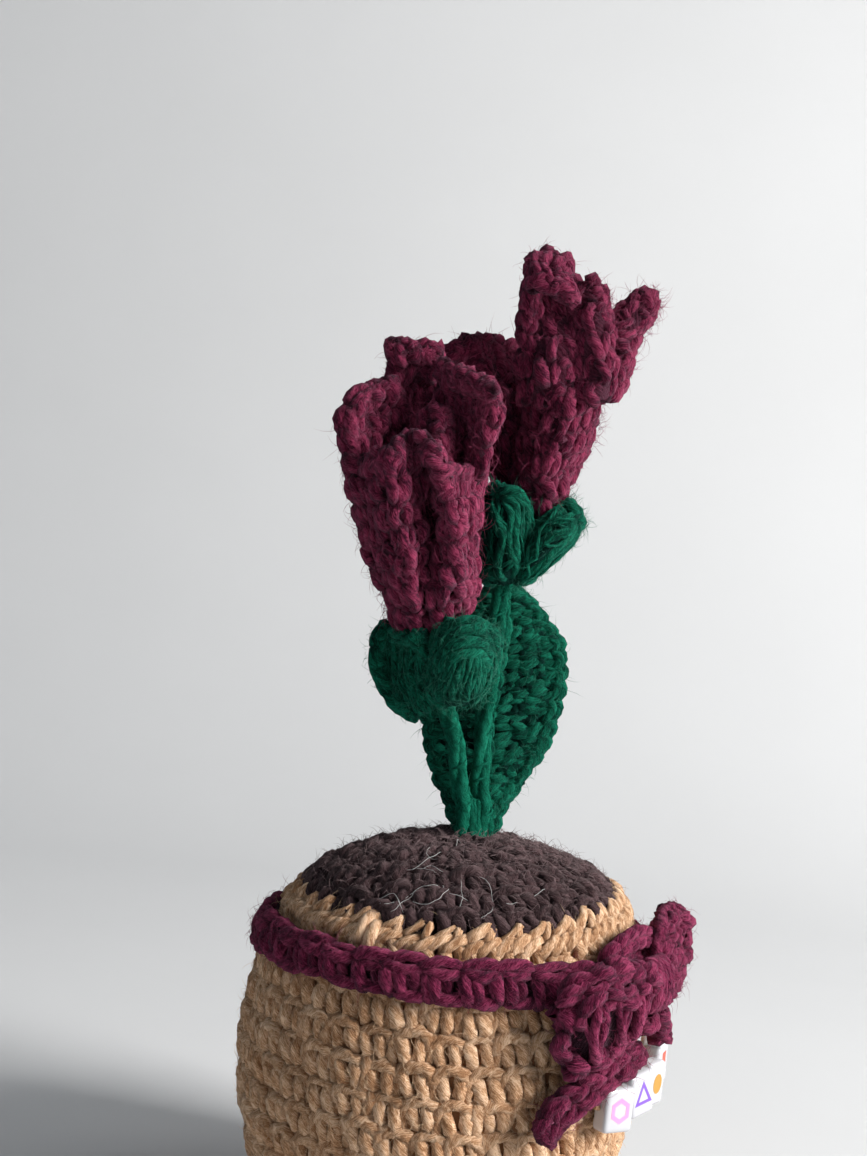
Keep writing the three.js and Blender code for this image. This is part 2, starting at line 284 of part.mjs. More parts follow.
// Thick sheet around a control grid. extra widens it on every side, as the clearance body of a neighbour.
// In tight folds the sheet is thinned on its inner side, so that it never crosses itself.
function sheetSolid(grid, thickness, nu, nv, extra = 0) {
  const half = thickness / 2 + extra;
  const su = extra > 0 ? nu + 2 : nu, sv = extra > 0 ? nv + 2 : nv;
  const front = [], back = [], middle = [], normals = [];
  for (let j = 0; j <= sv; j++) {
    for (let i = 0; i <= su; i++) {
      const ii = extra > 0 ? Math.min(nu, Math.max(0, i - 1)) : i;
      const jj = extra > 0 ? Math.min(nv, Math.max(0, j - 1)) : j;
      const u = ii / nu, v = jj / nv;
      const p = V(gridPoint(grid, u, v)), n = gridNormal(grid, u, v);
      if (extra > 0) {
        if (i === 0 || i === su) {
          const w = V(gridPoint(grid, i === 0 ? 0 : 1, v)).sub(V(gridPoint(grid, i === 0 ? 0.05 : 0.95, v))).normalize();
          p.addScaledVector(w, extra);
        }
        if (j === 0 || j === sv) {
          const w = V(gridPoint(grid, u, j === 0 ? 0 : 1)).sub(V(gridPoint(grid, u, j === 0 ? 0.05 : 0.95))).normalize();
          p.addScaledVector(w, extra);
        }
      }
      middle.push(p);
      normals.push(n);
    }
  }
  for (const [side, list] of [[1, front], [-1, back]]) {
    const reach = middle.map(() => half);
    const point = (k) => middle[k].clone().addScaledVector(normals[k], side * reach[k]);
    for (let round = 0; round < 14; round++) {
      for (let j = 0; j < sv; j++) for (let i = 0; i < su; i++) {
        const a = j * (su + 1) + i, corners = [a, a + 1, a + su + 2, a + su + 1];
        for (const [k, l, m] of [[0, 1, 2], [0, 2, 3], [0, 1, 3], [1, 2, 3]].map((t) => t.map((q) => corners[q]))) {
          const flat = middle[l].clone().sub(middle[k]).cross(middle[m].clone().sub(middle[k]));
          const moved = point(l).sub(point(k)).cross(point(m).sub(point(k)));
          if (moved.dot(flat) < 0.3 * flat.lengthSq()) for (const q of [k, l, m]) reach[q] = Math.max(0.25, reach[q] * 0.9);
        }
      }
    }
    middle.forEach((p, k) => list.push(point(k).toArray()));
  }
  const w = su + 1, points = front.concat(back), off = front.length, faces = [];
  for (let j = 0; j < sv; j++) for (let i = 0; i < su; i++) {
    const a = j * w + i, b = a + 1, c = a + w + 1, d = a + w;
    faces.push([a, b, c], [a, c, d], [off + a, off + c, off + b], [off + a, off + d, off + c]);
  }
  const rim = [];
  for (let i = 0; i < su; i++) rim.push(i);
  for (let j = 0; j < sv; j++) rim.push(j * w + su);
  for (let i = su; i > 0; i--) rim.push(sv * w + i);
  for (let j = sv; j > 0; j--) rim.push(j * w);
  for (let k = 0; k < rim.length; k++) {
    const a = rim[k], b = rim[(k + 1) % rim.length];
    faces.push([a, off + a, off + b], [a, off + b, b]);
  }
  return toManifold(meshGeometry(points, faces));
}

// Trumpet: a closed ring of columns, open at the top, closed at the root.
function trumpetSolid(grid, thickness, nu, nv, extra = 0) {
  const points = [], faces = [], rings = [];
  const ring = (v, offset, lift) => {
    const start = points.length;
    for (let i = 0; i < nu; i++) {
      const u = i / nu;
      const p = V(gridPoint(grid, u, v, true)), n = gridNormal(grid, u, v, true);
      p.addScaledVector(n, offset * side);
      p.addScaledVector(axis, lift);
      points.push(p.toArray());
    }
    rings.push(start);
    return start;
  };
  const middle = (v) => {
    const c = new THREE.Vector3();
    for (let i = 0; i < nu; i++) c.add(V(gridPoint(grid, i / nu, v, true)));
    return c.multiplyScalar(1 / nu);
  };
  const axis = middle(1).sub(middle(0)).normalize();
  const side = gridNormal(grid, 0, 0.5, true).dot(V(gridPoint(grid, 0, 0.5, true)).sub(middle(0.5))) > 0 ? 1 : -1;
  for (let j = 0; j <= nv; j++) ring(j / nv, extra, j === 0 ? -extra : j === nv ? extra : 0);
  for (let j = nv; j >= 1; j--) ring(j / nv, -(thickness + extra), j === nv ? extra : 0);
  for (let k = 0; k + 1 < rings.length; k++) {
    for (let i = 0; i < nu; i++) {
      const a = rings[k] + i, b = rings[k] + (i + 1) % nu, c = rings[k + 1] + (i + 1) % nu, d = rings[k + 1] + i;
      faces.push([a, b, c], [a, c, d]);
    }
  }
  points.push(middle(0).addScaledVector(axis, -extra).toArray());
  const low = points.length - 1;
  points.push(middle(1 / nv).toArray());
  const high = points.length - 1;
  for (let i = 0; i < nu; i++) {
    faces.push([low, rings[0] + (i + 1) % nu, rings[0] + i]);
    const last = rings[rings.length - 1];
    faces.push([high, last + i, last + (i + 1) % nu]);
  }
  return toManifold(meshGeometry(points, faces));
}

// Rod or sleeve along a smooth path; a bore leaves both ends open.
function rodSolid(path, radius, bore, steps, sides = 10) {
  const shape = new THREE.Shape();
  for (let i = 0; i < sides; i++) {
    const a = (i / sides) * 2 * Math.PI, x = Math.cos(a) * radius, y = Math.sin(a) * radius;
    if (i === 0) shape.moveTo(x, y); else shape.lineTo(x, y);
  }
  shape.closePath();
  if (bore > 0) {
    const hole = new THREE.Path();
    for (let i = 0; i < sides; i++) {
      const a = -(i / sides) * 2 * Math.PI, x = Math.cos(a) * bore, y = Math.sin(a) * bore;
      if (i === 0) hole.moveTo(x, y); else hole.lineTo(x, y);
    }
    hole.closePath();
    shape.holes.push(hole);
  }
  return toManifold(new THREE.ExtrudeGeometry(shape, { steps, bevelEnabled: false, extrudePath: path }));
}

// the hand-made pot is not quite upright: its belly leans to the left, its rim to the right
function settle(geometry) {
  const position = geometry.attributes.position, step = THREE.MathUtils.smoothstep;
  for (let i = 0; i < position.count; i++) {
    const x = position.getX(i), z = position.getZ(i), rim = step(z, 40, 52);
    position.setX(i, x - POT_SHIFT * step(z, 8, 22) * (1 - step(z, 32, 46)) + RIM_SHIFT * rim);
    position.setZ(i, z + RIM_TILT * x * rim);
  }
  return geometry;
}

function latheSolid(profile, segments = POT_SEGMENTS) {
  return toManifold(settle(new THREE.LatheGeometry(profile.map((p) => new THREE.Vector2(p[0], p[1])), segments).rotateX(Math.PI / 2)));
}

// moves a profile sideways along its own normals; positive is outwards
function offsetProfile(profile, d) {
  return profile.map((p, i) => {
    const a = profile[Math.max(0, i - 1)], b = profile[Math.min(profile.length - 1, i + 1)];
    const tx = b[0] - a[0], ty = b[1] - a[1], l = Math.hypot(tx, ty);
    return [Math.max(0, p[0] + (ty / l) * d), p[1] - (tx / l) * d];
  });
}

class Part extends THREE.Curve {
  constructor(curve, from, to) { super(); this.curve = curve; this.from = from; this.to = to; }
  getPoint(t, target = new THREE.Vector3()) { return target.copy(this.curve.getPoint(this.from + (this.to - this.from) * t)); }
}

function paramAtHeight(curve, z) {
  let lo = 0, hi = 1;
  for (let i = 0; i < 50; i++) { const m = (lo + hi) / 2; if (curve.getPoint(m).z < z) lo = m; else hi = m; }
  return (lo + hi) / 2;
}

// ---- materials ----------------------------------------------------------
const yarn = (color) => new THREE.MeshStandardMaterial({ color, roughness: 0.92, metalness: 0 });
const TAN = yarn(0xbd9668);
const BROWN = yarn(0x4d3b3c);
const BURGUNDY = yarn(0x701e40);
const GREEN = yarn(0x0f6a48);
const STUFFING = yarn(0xefeeea);
const CARD = new THREE.MeshStandardMaterial({ color: 0xa98c64, roughness: 0.85, metalness: 0 });
const WIRE = new THREE.MeshStandardMaterial({ color: 0xb6b8ba, roughness: 0.35, metalness: 1 });
const BEAD = new THREE.MeshStandardMaterial({ color: 0xf6f5f8, roughness: 0.22, metalness: 0 });
const THREAD = new THREE.MeshStandardMaterial({ color: 0xaa8563, roughness: 0.6, metalness: 0 });

const object = new THREE.Group();
object.name = 'potted_freesia';
const clear = [];   // grown bodies that later pieces keep clear of

function overlapsBox(a, b) {
  const p = a.boundingBox(), q = b.boundingBox();
  for (let c = 0; c < 3; c++) if (p.max[c] < q.min[c] || q.max[c] < p.min[c]) return false;
  return true;
}

function place(name, solid, material, grown = null) {
  let body = solid;
  for (const other of clear) if (overlapsBox(body, other)) body = body.subtract(other);
  body = largest(body);
  const mesh = new THREE.Mesh(fromManifold(body), material);
  mesh.name = name;
  object.add(mesh);
  if (grown) clear.push(grown);
  return body;
}

// ---- stems --------------------------------------------------------------
const curveRight = new THREE.CatmullRomCurve3(STEM_RIGHT.map(V), false, 'centripetal');
const curveLeft = new THREE.CatmullRomCurve3(STEM_LEFT.map(V), false, 'centripetal');
const stems = [['right', curveRight], ['left', curveLeft]];
for (const [sideName, curve] of stems) {
  const foot = paramAtHeight(curve, WIRE_FOOT_Z), seat = paramAtHeight(curve, SOIL_SEAT_Z);
  place(`stem_${sideName}_wire`, rodSolid(new Part(curve, foot, 0.995), WIRE_R, 0, 22, 8), WIRE);
  place(`stem_${sideName}_wrap`, rodSolid(new Part(curve, seat, 0.985), STEM_R, WRAP_BORE_R, 18, 10), GREEN);
}
// clearance of both stems for everything around them
const stemClear = stems.map(([, curve]) => rodSolid(new Part(curve, 0.0, 1.0), STEM_R + GAP, 0, 24, 10));
clear.push(...stemClear);

// ---- beads and their thread ---------------------------------------------
function beadAt(angle, facing, height, grow) {
  const w = BEAD_W / 2 + grow, h = BEAD_H / 2 + grow, d = BEAD_D / 2 + grow, k = 0.7;
  // chamfered block: 24 corner points, hull faces written out by a spherified box
  const box = new THREE.BoxGeometry(2, 2, 2, 3, 3, 3);
  const pos = box.attributes.position;
  for (let i = 0; i < pos.count; i++) {
    const p = new THREE.Vector3().fromBufferAttribute(pos, i);
    const s = [w, d, h];
    const q = p.toArray().map((c, a) => (Math.abs(c) > 0.99 ? Math.sign(c) * s[a] : Math.sign(c) * (s[a] - k)));
    const onEdge = p.toArray().filter((c) => Math.abs(c) > 0.99).length;
    const pull = onEdge === 3 ? 0.3 : onEdge === 2 ? 0.22 : 0;
    pos.setXYZ(i, ...q.map((c, a) => (Math.abs(p.toArray()[a]) > 0.99 ? c - Math.sign(c) * pull : c)));
  }
  const a = THREE.MathUtils.degToRad(angle);
  box.rotateZ(THREE.MathUtils.degToRad(facing));
  box.translate(BEAD_R * Math.sin(a), -BEAD_R * Math.cos(a), height);
  return toManifold(box);
}
const beadCentres = BEADS.map(([angle, , height]) => {
  const a = THREE.MathUtils.degToRad(angle);
  return new THREE.Vector3(BEAD_R * Math.sin(a), -BEAD_R * Math.cos(a), height);
});
const onPot = (angle, radius, height) => {
  const a = THREE.MathUtils.degToRad(angle);
  return new THREE.Vector3(radius * Math.sin(a), -radius * Math.cos(a), height);
};
const threadPath = new THREE.CatmullRomCurve3([onPot(43.4, 31.3, 28.2), ...beadCentres, onPot(110, 32.2, 33.6)], false, 'centripetal');
place('bead_thread', rodSolid(threadPath, THREAD_R, 0, 30, 8), THREAD);
const boreTool = rodSolid(threadPath, BEAD_BORE_R, 0, 30, 10);
BEADS.forEach(([angle, facing, height], i) => {
  const body = largest(beadAt(angle, facing, height, 0).subtract(boreTool));
  place(`bead_${i + 1}`, body, BEAD);
});
BEADS.forEach(([angle, facing, height]) => clear.push(beadAt(angle, facing, height, GAP)));
clear.push(rodSolid(threadPath, THREAD_R + GAP, 0, 30, 8));

// ---- pot, soil, stuffing, stiffener -------------------------------------
const potInner = offsetProfile(POT_PROFILE, -POT_T).map(([r, z], i) => [r, i === 0 ? POT_T : Math.max(POT_T, z)]);
potInner[potInner.length - 1] = [22.7, POT_PROFILE[POT_PROFILE.length - 1][1]];
const pot = place('pot_cup', latheSolid([[0, 0], ...POT_PROFILE, ...potInner.slice().reverse(), [0, POT_T]]), TAN);

const soilInner = offsetProfile(SOIL_PROFILE, -POT_T);
soilInner[0] = [22.5, SOIL_PROFILE[0][1]];
soilInner[soilInner.length - 1] = [0, SOIL_PROFILE[SOIL_PROFILE.length - 1][1] - POT_T];
place('soil_dome', latheSolid([...SOIL_PROFILE.slice().reverse().map((p) => p), ...soilInner]), BROWN);

place('base_stiffener', latheSolid([[0, POT_T + GAP], [STIFFENER_R, POT_T + GAP], [STIFFENER_R, POT_T + GAP + STIFFENER_T], [0, POT_T + GAP + STIFFENER_T]], 40), CARD);

const fillZ = POT_T + STIFFENER_T + 2 * GAP;
const fillSide = offsetProfile(POT_PROFILE, -(POT_T + GAP)).filter(([, z], i) => z > fillZ + 2 && i < POT_PROFILE.length - 1);
const fillTop = offsetProfile(SOIL_PROFILE, -(POT_T + GAP + 0.1)).slice(1, -1);
const fillApex = SOIL_PROFILE[SOIL_PROFILE.length - 1][1] - POT_T - GAP - 0.1;
place('stuffing', latheSolid([[0, fillZ], [20.2, fillZ], ...fillSide, [22.2, 51.2], ...fillTop, [0, fillApex]], 32), STUFFING);

// ---- band round the shoulder --------------------------------------------
place('band', latheSolid([
  [BAND_R_IN[0] + GAP, BAND_Z - BAND_H / 2], [BAND_R_IN[0] + GAP + BAND_T, BAND_Z - BAND_H / 2 + 0.5],
  [BAND_R_IN[0] + GAP + BAND_T - 0.05, BAND_Z], [BAND_R_IN[1] + GAP + BAND_T, BAND_Z + BAND_H / 2 - 0.5],
  [BAND_R_IN[1] + GAP, BAND_Z + BAND_H / 2], [BAND_R_IN[0] + GAP, BAND_Z - BAND_H / 2]], 56), BURGUNDY);
clear.push(latheSolid([
  [25, BAND_Z - BAND_H / 2 - GAP], [BAND_R_IN[0] + 2 * GAP + BAND_T, BAND_Z - BAND_H / 2 - GAP],
  [BAND_R_IN[0] + 2 * GAP + BAND_T, BAND_Z], [BAND_R_IN[1] + 2.4 * GAP + BAND_T, BAND_Z + BAND_H / 2 + GAP],
  [25, BAND_Z + BAND_H / 2 + GAP], [25, BAND_Z - BAND_H / 2 - GAP]], 56));
// the pot's and soil's own clearance, for the bow, the leaf and the bracts
clear.push(latheSolid([[0, -GAP], ...offsetProfile(POT_PROFILE, GAP), ...offsetProfile(SOIL_PROFILE, GAP), [0, 61]]));

// ---- bow ----------------------------------------------------------------
function knotSolid(grow) {
  const g = new THREE.SphereGeometry(1, 14, 10);
  g.scale(KNOT_SIZE[1] + grow, KNOT_SIZE[0] + grow, KNOT_SIZE[2] + grow);
  g.rotateZ(Math.atan2(KNOT[0], -KNOT[1]));
  g.translate(...KNOT);
  return toManifold(g);
}
place('bow_knot', knotSolid(0), BURGUNDY, knotSolid(GAP));
const SHEETS = [
  ['bow_loop_left', BOW_LOOP_LEFT, BURGUNDY, 6, 7], ['bow_loop_right', BOW_LOOP_RIGHT, BURGUNDY, 6, 7],
  ['bow_tail_left', BOW_TAIL_LEFT, BURGUNDY, 3, 8], ['bow_tail_right', BOW_TAIL_RIGHT, BURGUNDY, 3, 7],
];
const place_sheet = ([name, grid, material, nu, nv]) => place(name, sheetSolid(grid, FABRIC_T, nu, nv), material, sheetSolid(grid, FABRIC_T, nu, nv, GAP));
SHEETS.forEach(place_sheet);

// ---- leaf ---------------------------------------------------------------
place_sheet(['leaf', LEAF, GREEN, 7, 11]);

// ---- calyx cups and flowers ---------------------------------------------
function cupSolid(curve, length, rLow, rHigh, grow) {
  const end = curve.getPoint(0.985), dir = curve.getTangent(0.96).normalize();
  const low = -length - grow, high = grow - 0.2;
  const bore = grow > 0 ? 0 : STEM_R + GAP;
  const profile = grow > 0
    ? [[0, low], [rLow + grow, low], [rHigh + grow, high], [0, high]]
    : [[bore, low], [rLow, low], [rHigh, high], [bore, high], [bore, low]];
  const g = new THREE.LatheGeometry(profile.map((p) => new THREE.Vector2(p[0], p[1])), 16);
  g.applyQuaternion(new THREE.Quaternion().setFromUnitVectors(new THREE.Vector3(0, 1, 0), dir));
  g.translate(end.x, end.y, end.z);
  return toManifold(g);
}
place('calyx_left_cup', cupSolid(curveLeft, 6, 2.3, 4.6, 0), GREEN, cupSolid(curveLeft, 6, 2.3, 4.6, GAP));
place('calyx_right_cup', cupSolid(curveRight, 6, 2.2, 3.6, 0), GREEN, cupSolid(curveRight, 6, 2.2, 3.6, GAP));

place('flower_left_tube', trumpetSolid(FLOWER_LEFT_TUBE, FABRIC_T, 20, 7), BURGUNDY, trumpetSolid(FLOWER_LEFT_TUBE, FABRIC_T, 20, 7, GAP));
place('flower_right_tube', trumpetSolid(FLOWER_RIGHT_TUBE, FABRIC_T, 16, 6), BURGUNDY, trumpetSolid(FLOWER_RIGHT_TUBE, FABRIC_T, 16, 6, GAP));

[
  ['flower_left_petal_right', FLOWER_LEFT_PETAL_RIGHT, BURGUNDY, 6, 7],
  ['flower_left_petal_left', FLOWER_LEFT_PETAL_LEFT, BURGUNDY, 6, 6],
  ['flower_left_petal_back', FLOWER_LEFT_PETAL_BACK, BURGUNDY, 6, 7],
  ['flower_left_petal_inner', FLOWER_LEFT_PETAL_INNER, BURGUNDY, 4, 5],
  ['flower_right_petal_hood', FLOWER_RIGHT_PETAL_HOOD, BURGUNDY, 6, 10],
  ['flower_right_petal_ridge', FLOWER_RIGHT_PETAL_RIDGE, BURGUNDY, 5, 7],
  ['flower_right_petal_right', FLOWER_RIGHT_PETAL_RIGHT, BURGUNDY, 5, 7],
  ['flower_right_petal_left', FLOWER_RIGHT_PETAL_LEFT, BURGUNDY, 6, 9],
  ['flower_right_petal_back', FLOWER_RIGHT_PETAL_BACK, BURGUNDY, 5, 6],
  ['bract_left_front', BRACT_LEFT_FRONT, GREEN, 5, 5],
  ['bract_left_side', BRACT_LEFT_SIDE, GREEN, 5, 5],
  ['bract_right_front', BRACT_RIGHT_FRONT, GREEN, 5, 5],
  ['bract_right_side', BRACT_RIGHT_SIDE, GREEN, 5, 5],
].forEach(place_sheet);

export default object;
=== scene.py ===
import math
import bpy
import numpy as np
from mathutils import Matrix, Vector


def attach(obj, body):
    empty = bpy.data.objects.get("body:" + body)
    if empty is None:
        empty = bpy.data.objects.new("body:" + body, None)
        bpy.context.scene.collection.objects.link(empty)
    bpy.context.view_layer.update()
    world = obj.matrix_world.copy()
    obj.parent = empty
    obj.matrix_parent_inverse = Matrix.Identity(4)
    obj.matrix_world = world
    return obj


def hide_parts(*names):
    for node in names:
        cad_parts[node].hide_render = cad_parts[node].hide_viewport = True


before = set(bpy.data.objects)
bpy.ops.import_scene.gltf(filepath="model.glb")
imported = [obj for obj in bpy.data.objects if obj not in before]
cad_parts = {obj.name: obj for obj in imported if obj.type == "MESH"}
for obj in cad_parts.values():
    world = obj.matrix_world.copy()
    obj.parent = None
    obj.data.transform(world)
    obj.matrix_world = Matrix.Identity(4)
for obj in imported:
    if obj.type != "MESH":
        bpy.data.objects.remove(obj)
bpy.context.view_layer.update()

MM = 0.001
rng = np.random.default_rng(758)

# ---------------------------------------------------------------- shapes, in mm
POT_PROFILE = [[18.6, 0], [23.2, 2.5], [26.6, 9], [29, 18], [29.9, 26], [29.7, 34], [28.8, 41], [27.5, 46.4], [26.6, 49.2], [25.2, 51.4]]
SOIL_PROFILE = [[25, 51.7], [23.4, 53.8], [20.2, 56.2], [14.5, 58.6], [7.5, 60.2], [0, 60.6]]
POT_SHIFT, RIM_SHIFT, RIM_TILT = 0.7, 0.8, 0.035
STEM_RIGHT = [[2.9, -0.2, 20], [2.9, -0.2, 60], [1.6, 0, 69.4], [1.3, 0, 78.7], [1.5, 0, 84.9], [1.8, 0, 91.1], [1.6, 0, 99.4], [3.2, 0.8, 104.5], [5.6, 1.6, 108.6]]
STEM_LEFT = [[0.1, -1.4, 20], [0.1, -1.4, 60], [-1.3, -1.6, 67.8], [-2.3, -3.5, 72.5], [-3.5, -6.5, 77.2], [-5.2, -9.3, 81.3], [-6.8, -11.2, 85.5], [-7.8, -12.2, 89.6]]
BEADS = [[48.9, 34, 27.8], [59.6, 47, 29.3], [70.4, 58, 28.4], [83, 68, 30], [95, 82, 31.5]]
BEAD_W, BEAD_H, BEAD_D, BEAD_R = 5.2, 6.4, 2.9, 32.4
KNOT = [28.9, -17.9, 45.0]

# control points of the crochet sheets, in mm: rows from the root to the tip
FLOWER_LEFT_TUBE = [
    [[-14, -13, 91.7], [-12.7, -16, 91.3], [-11.2, -18, 91.1], [-10, -18.5, 91.4], [-8.7, -18.1, 92], [-7.4, -18.5, 92.6], [-6.1, -18, 93.4], [-4.6, -16, 94.2], [-3.2, -12.5, 95.2], [-4.4, -8, 93.5], [-8.1, -5.5, 91.8], [-12.3, -8, 91.4]],
    [[-15.4, -12, 96], [-13.9, -17.5, 95.6], [-12, -20.5, 95.7], [-10.3, -20.5, 96.3], [-8.8, -19.6, 96.8], [-7.1, -21, 97.1], [-5.6, -20.5, 97.5], [-3.9, -17, 98.1], [-2.5, -12, 98.8], [-3.8, -6, 97.6], [-8.9, -3.5, 96.2], [-14, -6, 95.7]],
    [[-18.5, -12, 100.9], [-16.2, -19, 100.5], [-13.6, -22.5, 100.6], [-11.3, -22, 101.3], [-9.2, -18.3, 102.3], [-7.4, -22, 102.3], [-5.7, -22.5, 102.7], [-4.2, -18.5, 103.5], [-3.1, -12, 104.6], [-4.1, -5, 103.6], [-10.3, -2, 102.2], [-17, -5, 101.2]],
    [[-20.6, -12.5, 105.7], [-18, -20, 105.5], [-14.9, -24, 105.6], [-12.2, -23, 106.4], [-10, -16.5, 107.7], [-8, -23.5, 107.6], [-6, -24, 107.9], [-4.2, -19.5, 108.7], [-2.8, -12, 109.7], [-3.7, -4, 109.3], [-11.3, -0.5, 107.5], [-18.8, -4, 106.2]],
    [[-22.3, -13, 110.8], [-19.6, -21, 110.4], [-16.5, -25, 110.5], [-13.6, -24.5, 111.6], [-11.4, -17.8, 113.1], [-9.5, -25, 112.4], [-7.3, -25, 112.1], [-5.1, -20, 112.8], [-3.4, -12, 114.3], [-4.3, -3.5, 115], [-12.4, 0, 114.4], [-20.6, -4, 112.1]],
    [[-23.1, -14.5, 114.6], [-20.5, -21.5, 115.2], [-17.8, -25.5, 115.8], [-15.4, -26, 116.9], [-13.6, -23.4, 118.3], [-11.5, -26, 116.9], [-9, -25.5, 115.1], [-6.3, -20.5, 115.4], [-4, -12.5, 116.9], [-5, -3.5, 120.3], [-13, 0, 120.5], [-21.4, -4.5, 117]],
]
FLOWER_LEFT_PETAL_LEFT = [
    [[-19.4, -19, 108.9], [-18.4, -16.2, 109.5], [-17.2, -13.8, 110], [-15.9, -11.8, 110.5], [-14.5, -10.2, 111]],
    [[-22.4, -19.5, 114.3], [-20.8, -16.6, 114.7], [-18.8, -14, 115.2], [-16.7, -12, 115.9], [-14.8, -10.6, 116.6]],
    [[-23.6, -19.5, 118.1], [-21.8, -16.8, 118.6], [-19.7, -14.2, 119.4], [-17.3, -12.2, 120.2], [-15.1, -11, 121.2]],
    [[-23.5, -19, 121.6], [-21.9, -16.8, 122.4], [-20.1, -14.6, 123.2], [-18, -12.8, 124.1], [-15.9, -11.6, 124.9]],
    [[-22.4, -17.5, 124.3], [-21.2, -16.2, 125.4], [-19.9, -14.8, 126.4], [-18.6, -13.6, 127.3], [-17.2, -12.6, 127.9]],
]
FLOWER_LEFT_PETAL_BACK = [
    [[-15.9, -6.5, 110.6], [-14.5, -5.2, 110.8], [-12.8, -4.6, 111], [-10.9, -5, 111.2], [-9.4, -6.2, 111.3]],
    [[-17.1, -7, 118], [-15.5, -5.2, 118.4], [-13.6, -4.4, 118.9], [-11.5, -4.8, 119.1], [-9.6, -6, 119]],
    [[-18, -8, 124.6], [-16.3, -6.4, 125.1], [-14.3, -5.6, 125.5], [-12, -5.6, 125.7], [-9.9, -6.6, 125.7]],
    [[-18.6, -9.5, 129], [-16.9, -8.8, 129.2], [-14.8, -8.4, 129.4], [-12.6, -8, 129.9], [-10.4, -8.4, 130.3]],
    [[-18.7, -10.6, 131.8], [-17.5, -11, 132.5], [-15.5, -10.8, 132], [-13.5, -10.4, 132.8], [-11.2, -10.2, 132.2]],
    [[-18.4, -11.2, 133.1], [-17.6, -12, 133.6], [-15.7, -11.8, 132.5], [-13.7, -11.2, 133.6], [-11.9, -10.8, 132.8]],
]
FLOWER_LEFT_PETAL_RIGHT = [
    [[-7.9, -9, 110.6], [-6.7, -9.5, 110.7], [-5.6, -11, 110.9], [-4.7, -13.5, 111.2], [-4.4, -16.5, 111.6]],
    [[-8.9, -8.6, 116.5], [-7.2, -9.6, 116.6], [-5.6, -11.6, 116.8], [-4.4, -14.6, 117], [-3.8, -18, 117.5]],
    [[-9.9, -9, 121.6], [-7.7, -10.6, 121.7], [-5.6, -13.2, 121.7], [-3.7, -16.6, 121.7], [-2.9, -19.6, 122.1]],
    [[-10.5, -10, 125.9], [-8.3, -12, 125.9], [-5.7, -15, 125.6], [-3.6, -18.4, 125.2], [-2.2, -20.8, 125.2]],
    [[-10.7, -11.4, 129], [-8.7, -13.8, 128.8], [-6.3, -17, 127.9], [-4.1, -20, 126.8], [-2.7, -21.6, 126.3]],
    [[-10.5, -12.6, 131.1], [-8.7, -15.2, 130.3], [-6.6, -18, 129.2], [-4.8, -20.6, 127.9], [-3.6, -21.8, 127.1]],
]
FLOWER_LEFT_PETAL_INNER = [
    [[-12.2, -14, 110.7], [-11.1, -15.2, 110.7], [-10, -15.6, 110.8], [-8.8, -15.2, 111], [-7.8, -14, 111.1]],
    [[-12.8, -14.6, 115.5], [-11.7, -16.8, 115.6], [-10.5, -17.6, 115.9], [-9.4, -16.8, 116], [-8.2, -15, 116.1]],
    [[-12.8, -14.8, 119.7], [-11.8, -17, 120], [-10.8, -17.8, 120.1], [-9.8, -17, 120.3], [-8.8, -15.2, 120.1]],
    [[-12.4, -14.6, 123], [-11.8, -15.8, 123.7], [-11, -16.2, 124.2], [-10.2, -15.8, 124], [-9.4, -15, 123.3]],
]
FLOWER_RIGHT_TUBE = [
    [[5.4, 2, 111.4], [5.8, -2, 110.8], [7.2, -4, 110.7], [8.8, -2.5, 111.6], [9.9, 1.5, 112.8], [9.6, 5.5, 112], [8.1, 7.5, 111.6], [6.4, 6, 111.3]],
    [[2.9, 2, 113.8], [4, -3, 113.2], [6.3, -5.5, 113], [8.7, -4, 113.9], [10.3, 1, 115.3], [10, 6.5, 114.9], [7.6, 9, 114.1], [4.5, 7, 113.9]],
    [[1.4, 2, 116.9], [3, -4, 116.1], [6, -7, 115.9], [9.2, -5, 117.1], [11.3, 0.5, 118.8], [10.7, 7.5, 118.5], [7.3, 10.5, 117.7], [3.2, 8, 117.1]],
    [[2.1, 2, 121.5], [3.7, -4.5, 120.7], [7, -7.5, 120.5], [10.7, -5.5, 121.6], [13.6, 0, 123.3], [12.7, 8.5, 123.1], [8.6, 11.5, 122.4], [4.3, 8.5, 121.7]],
    [[2.1, 2, 126.1], [4, -5, 125.2], [7.6, -8, 125], [11.4, -6, 126.2], [14.2, 0, 128.3], [13.3, 9, 128.2], [9.1, 12, 127.4], [4.3, 9, 126.6]],
    [[1.8, 2, 130.6], [3.8, -5.5, 129.5], [7.5, -8.5, 129.4], [11.6, -6.5, 130.4], [14.7, 0, 132.1], [13.5, 9.5, 132.4], [9.2, 12.5, 132], [4.2, 9.5, 131.4]],
]
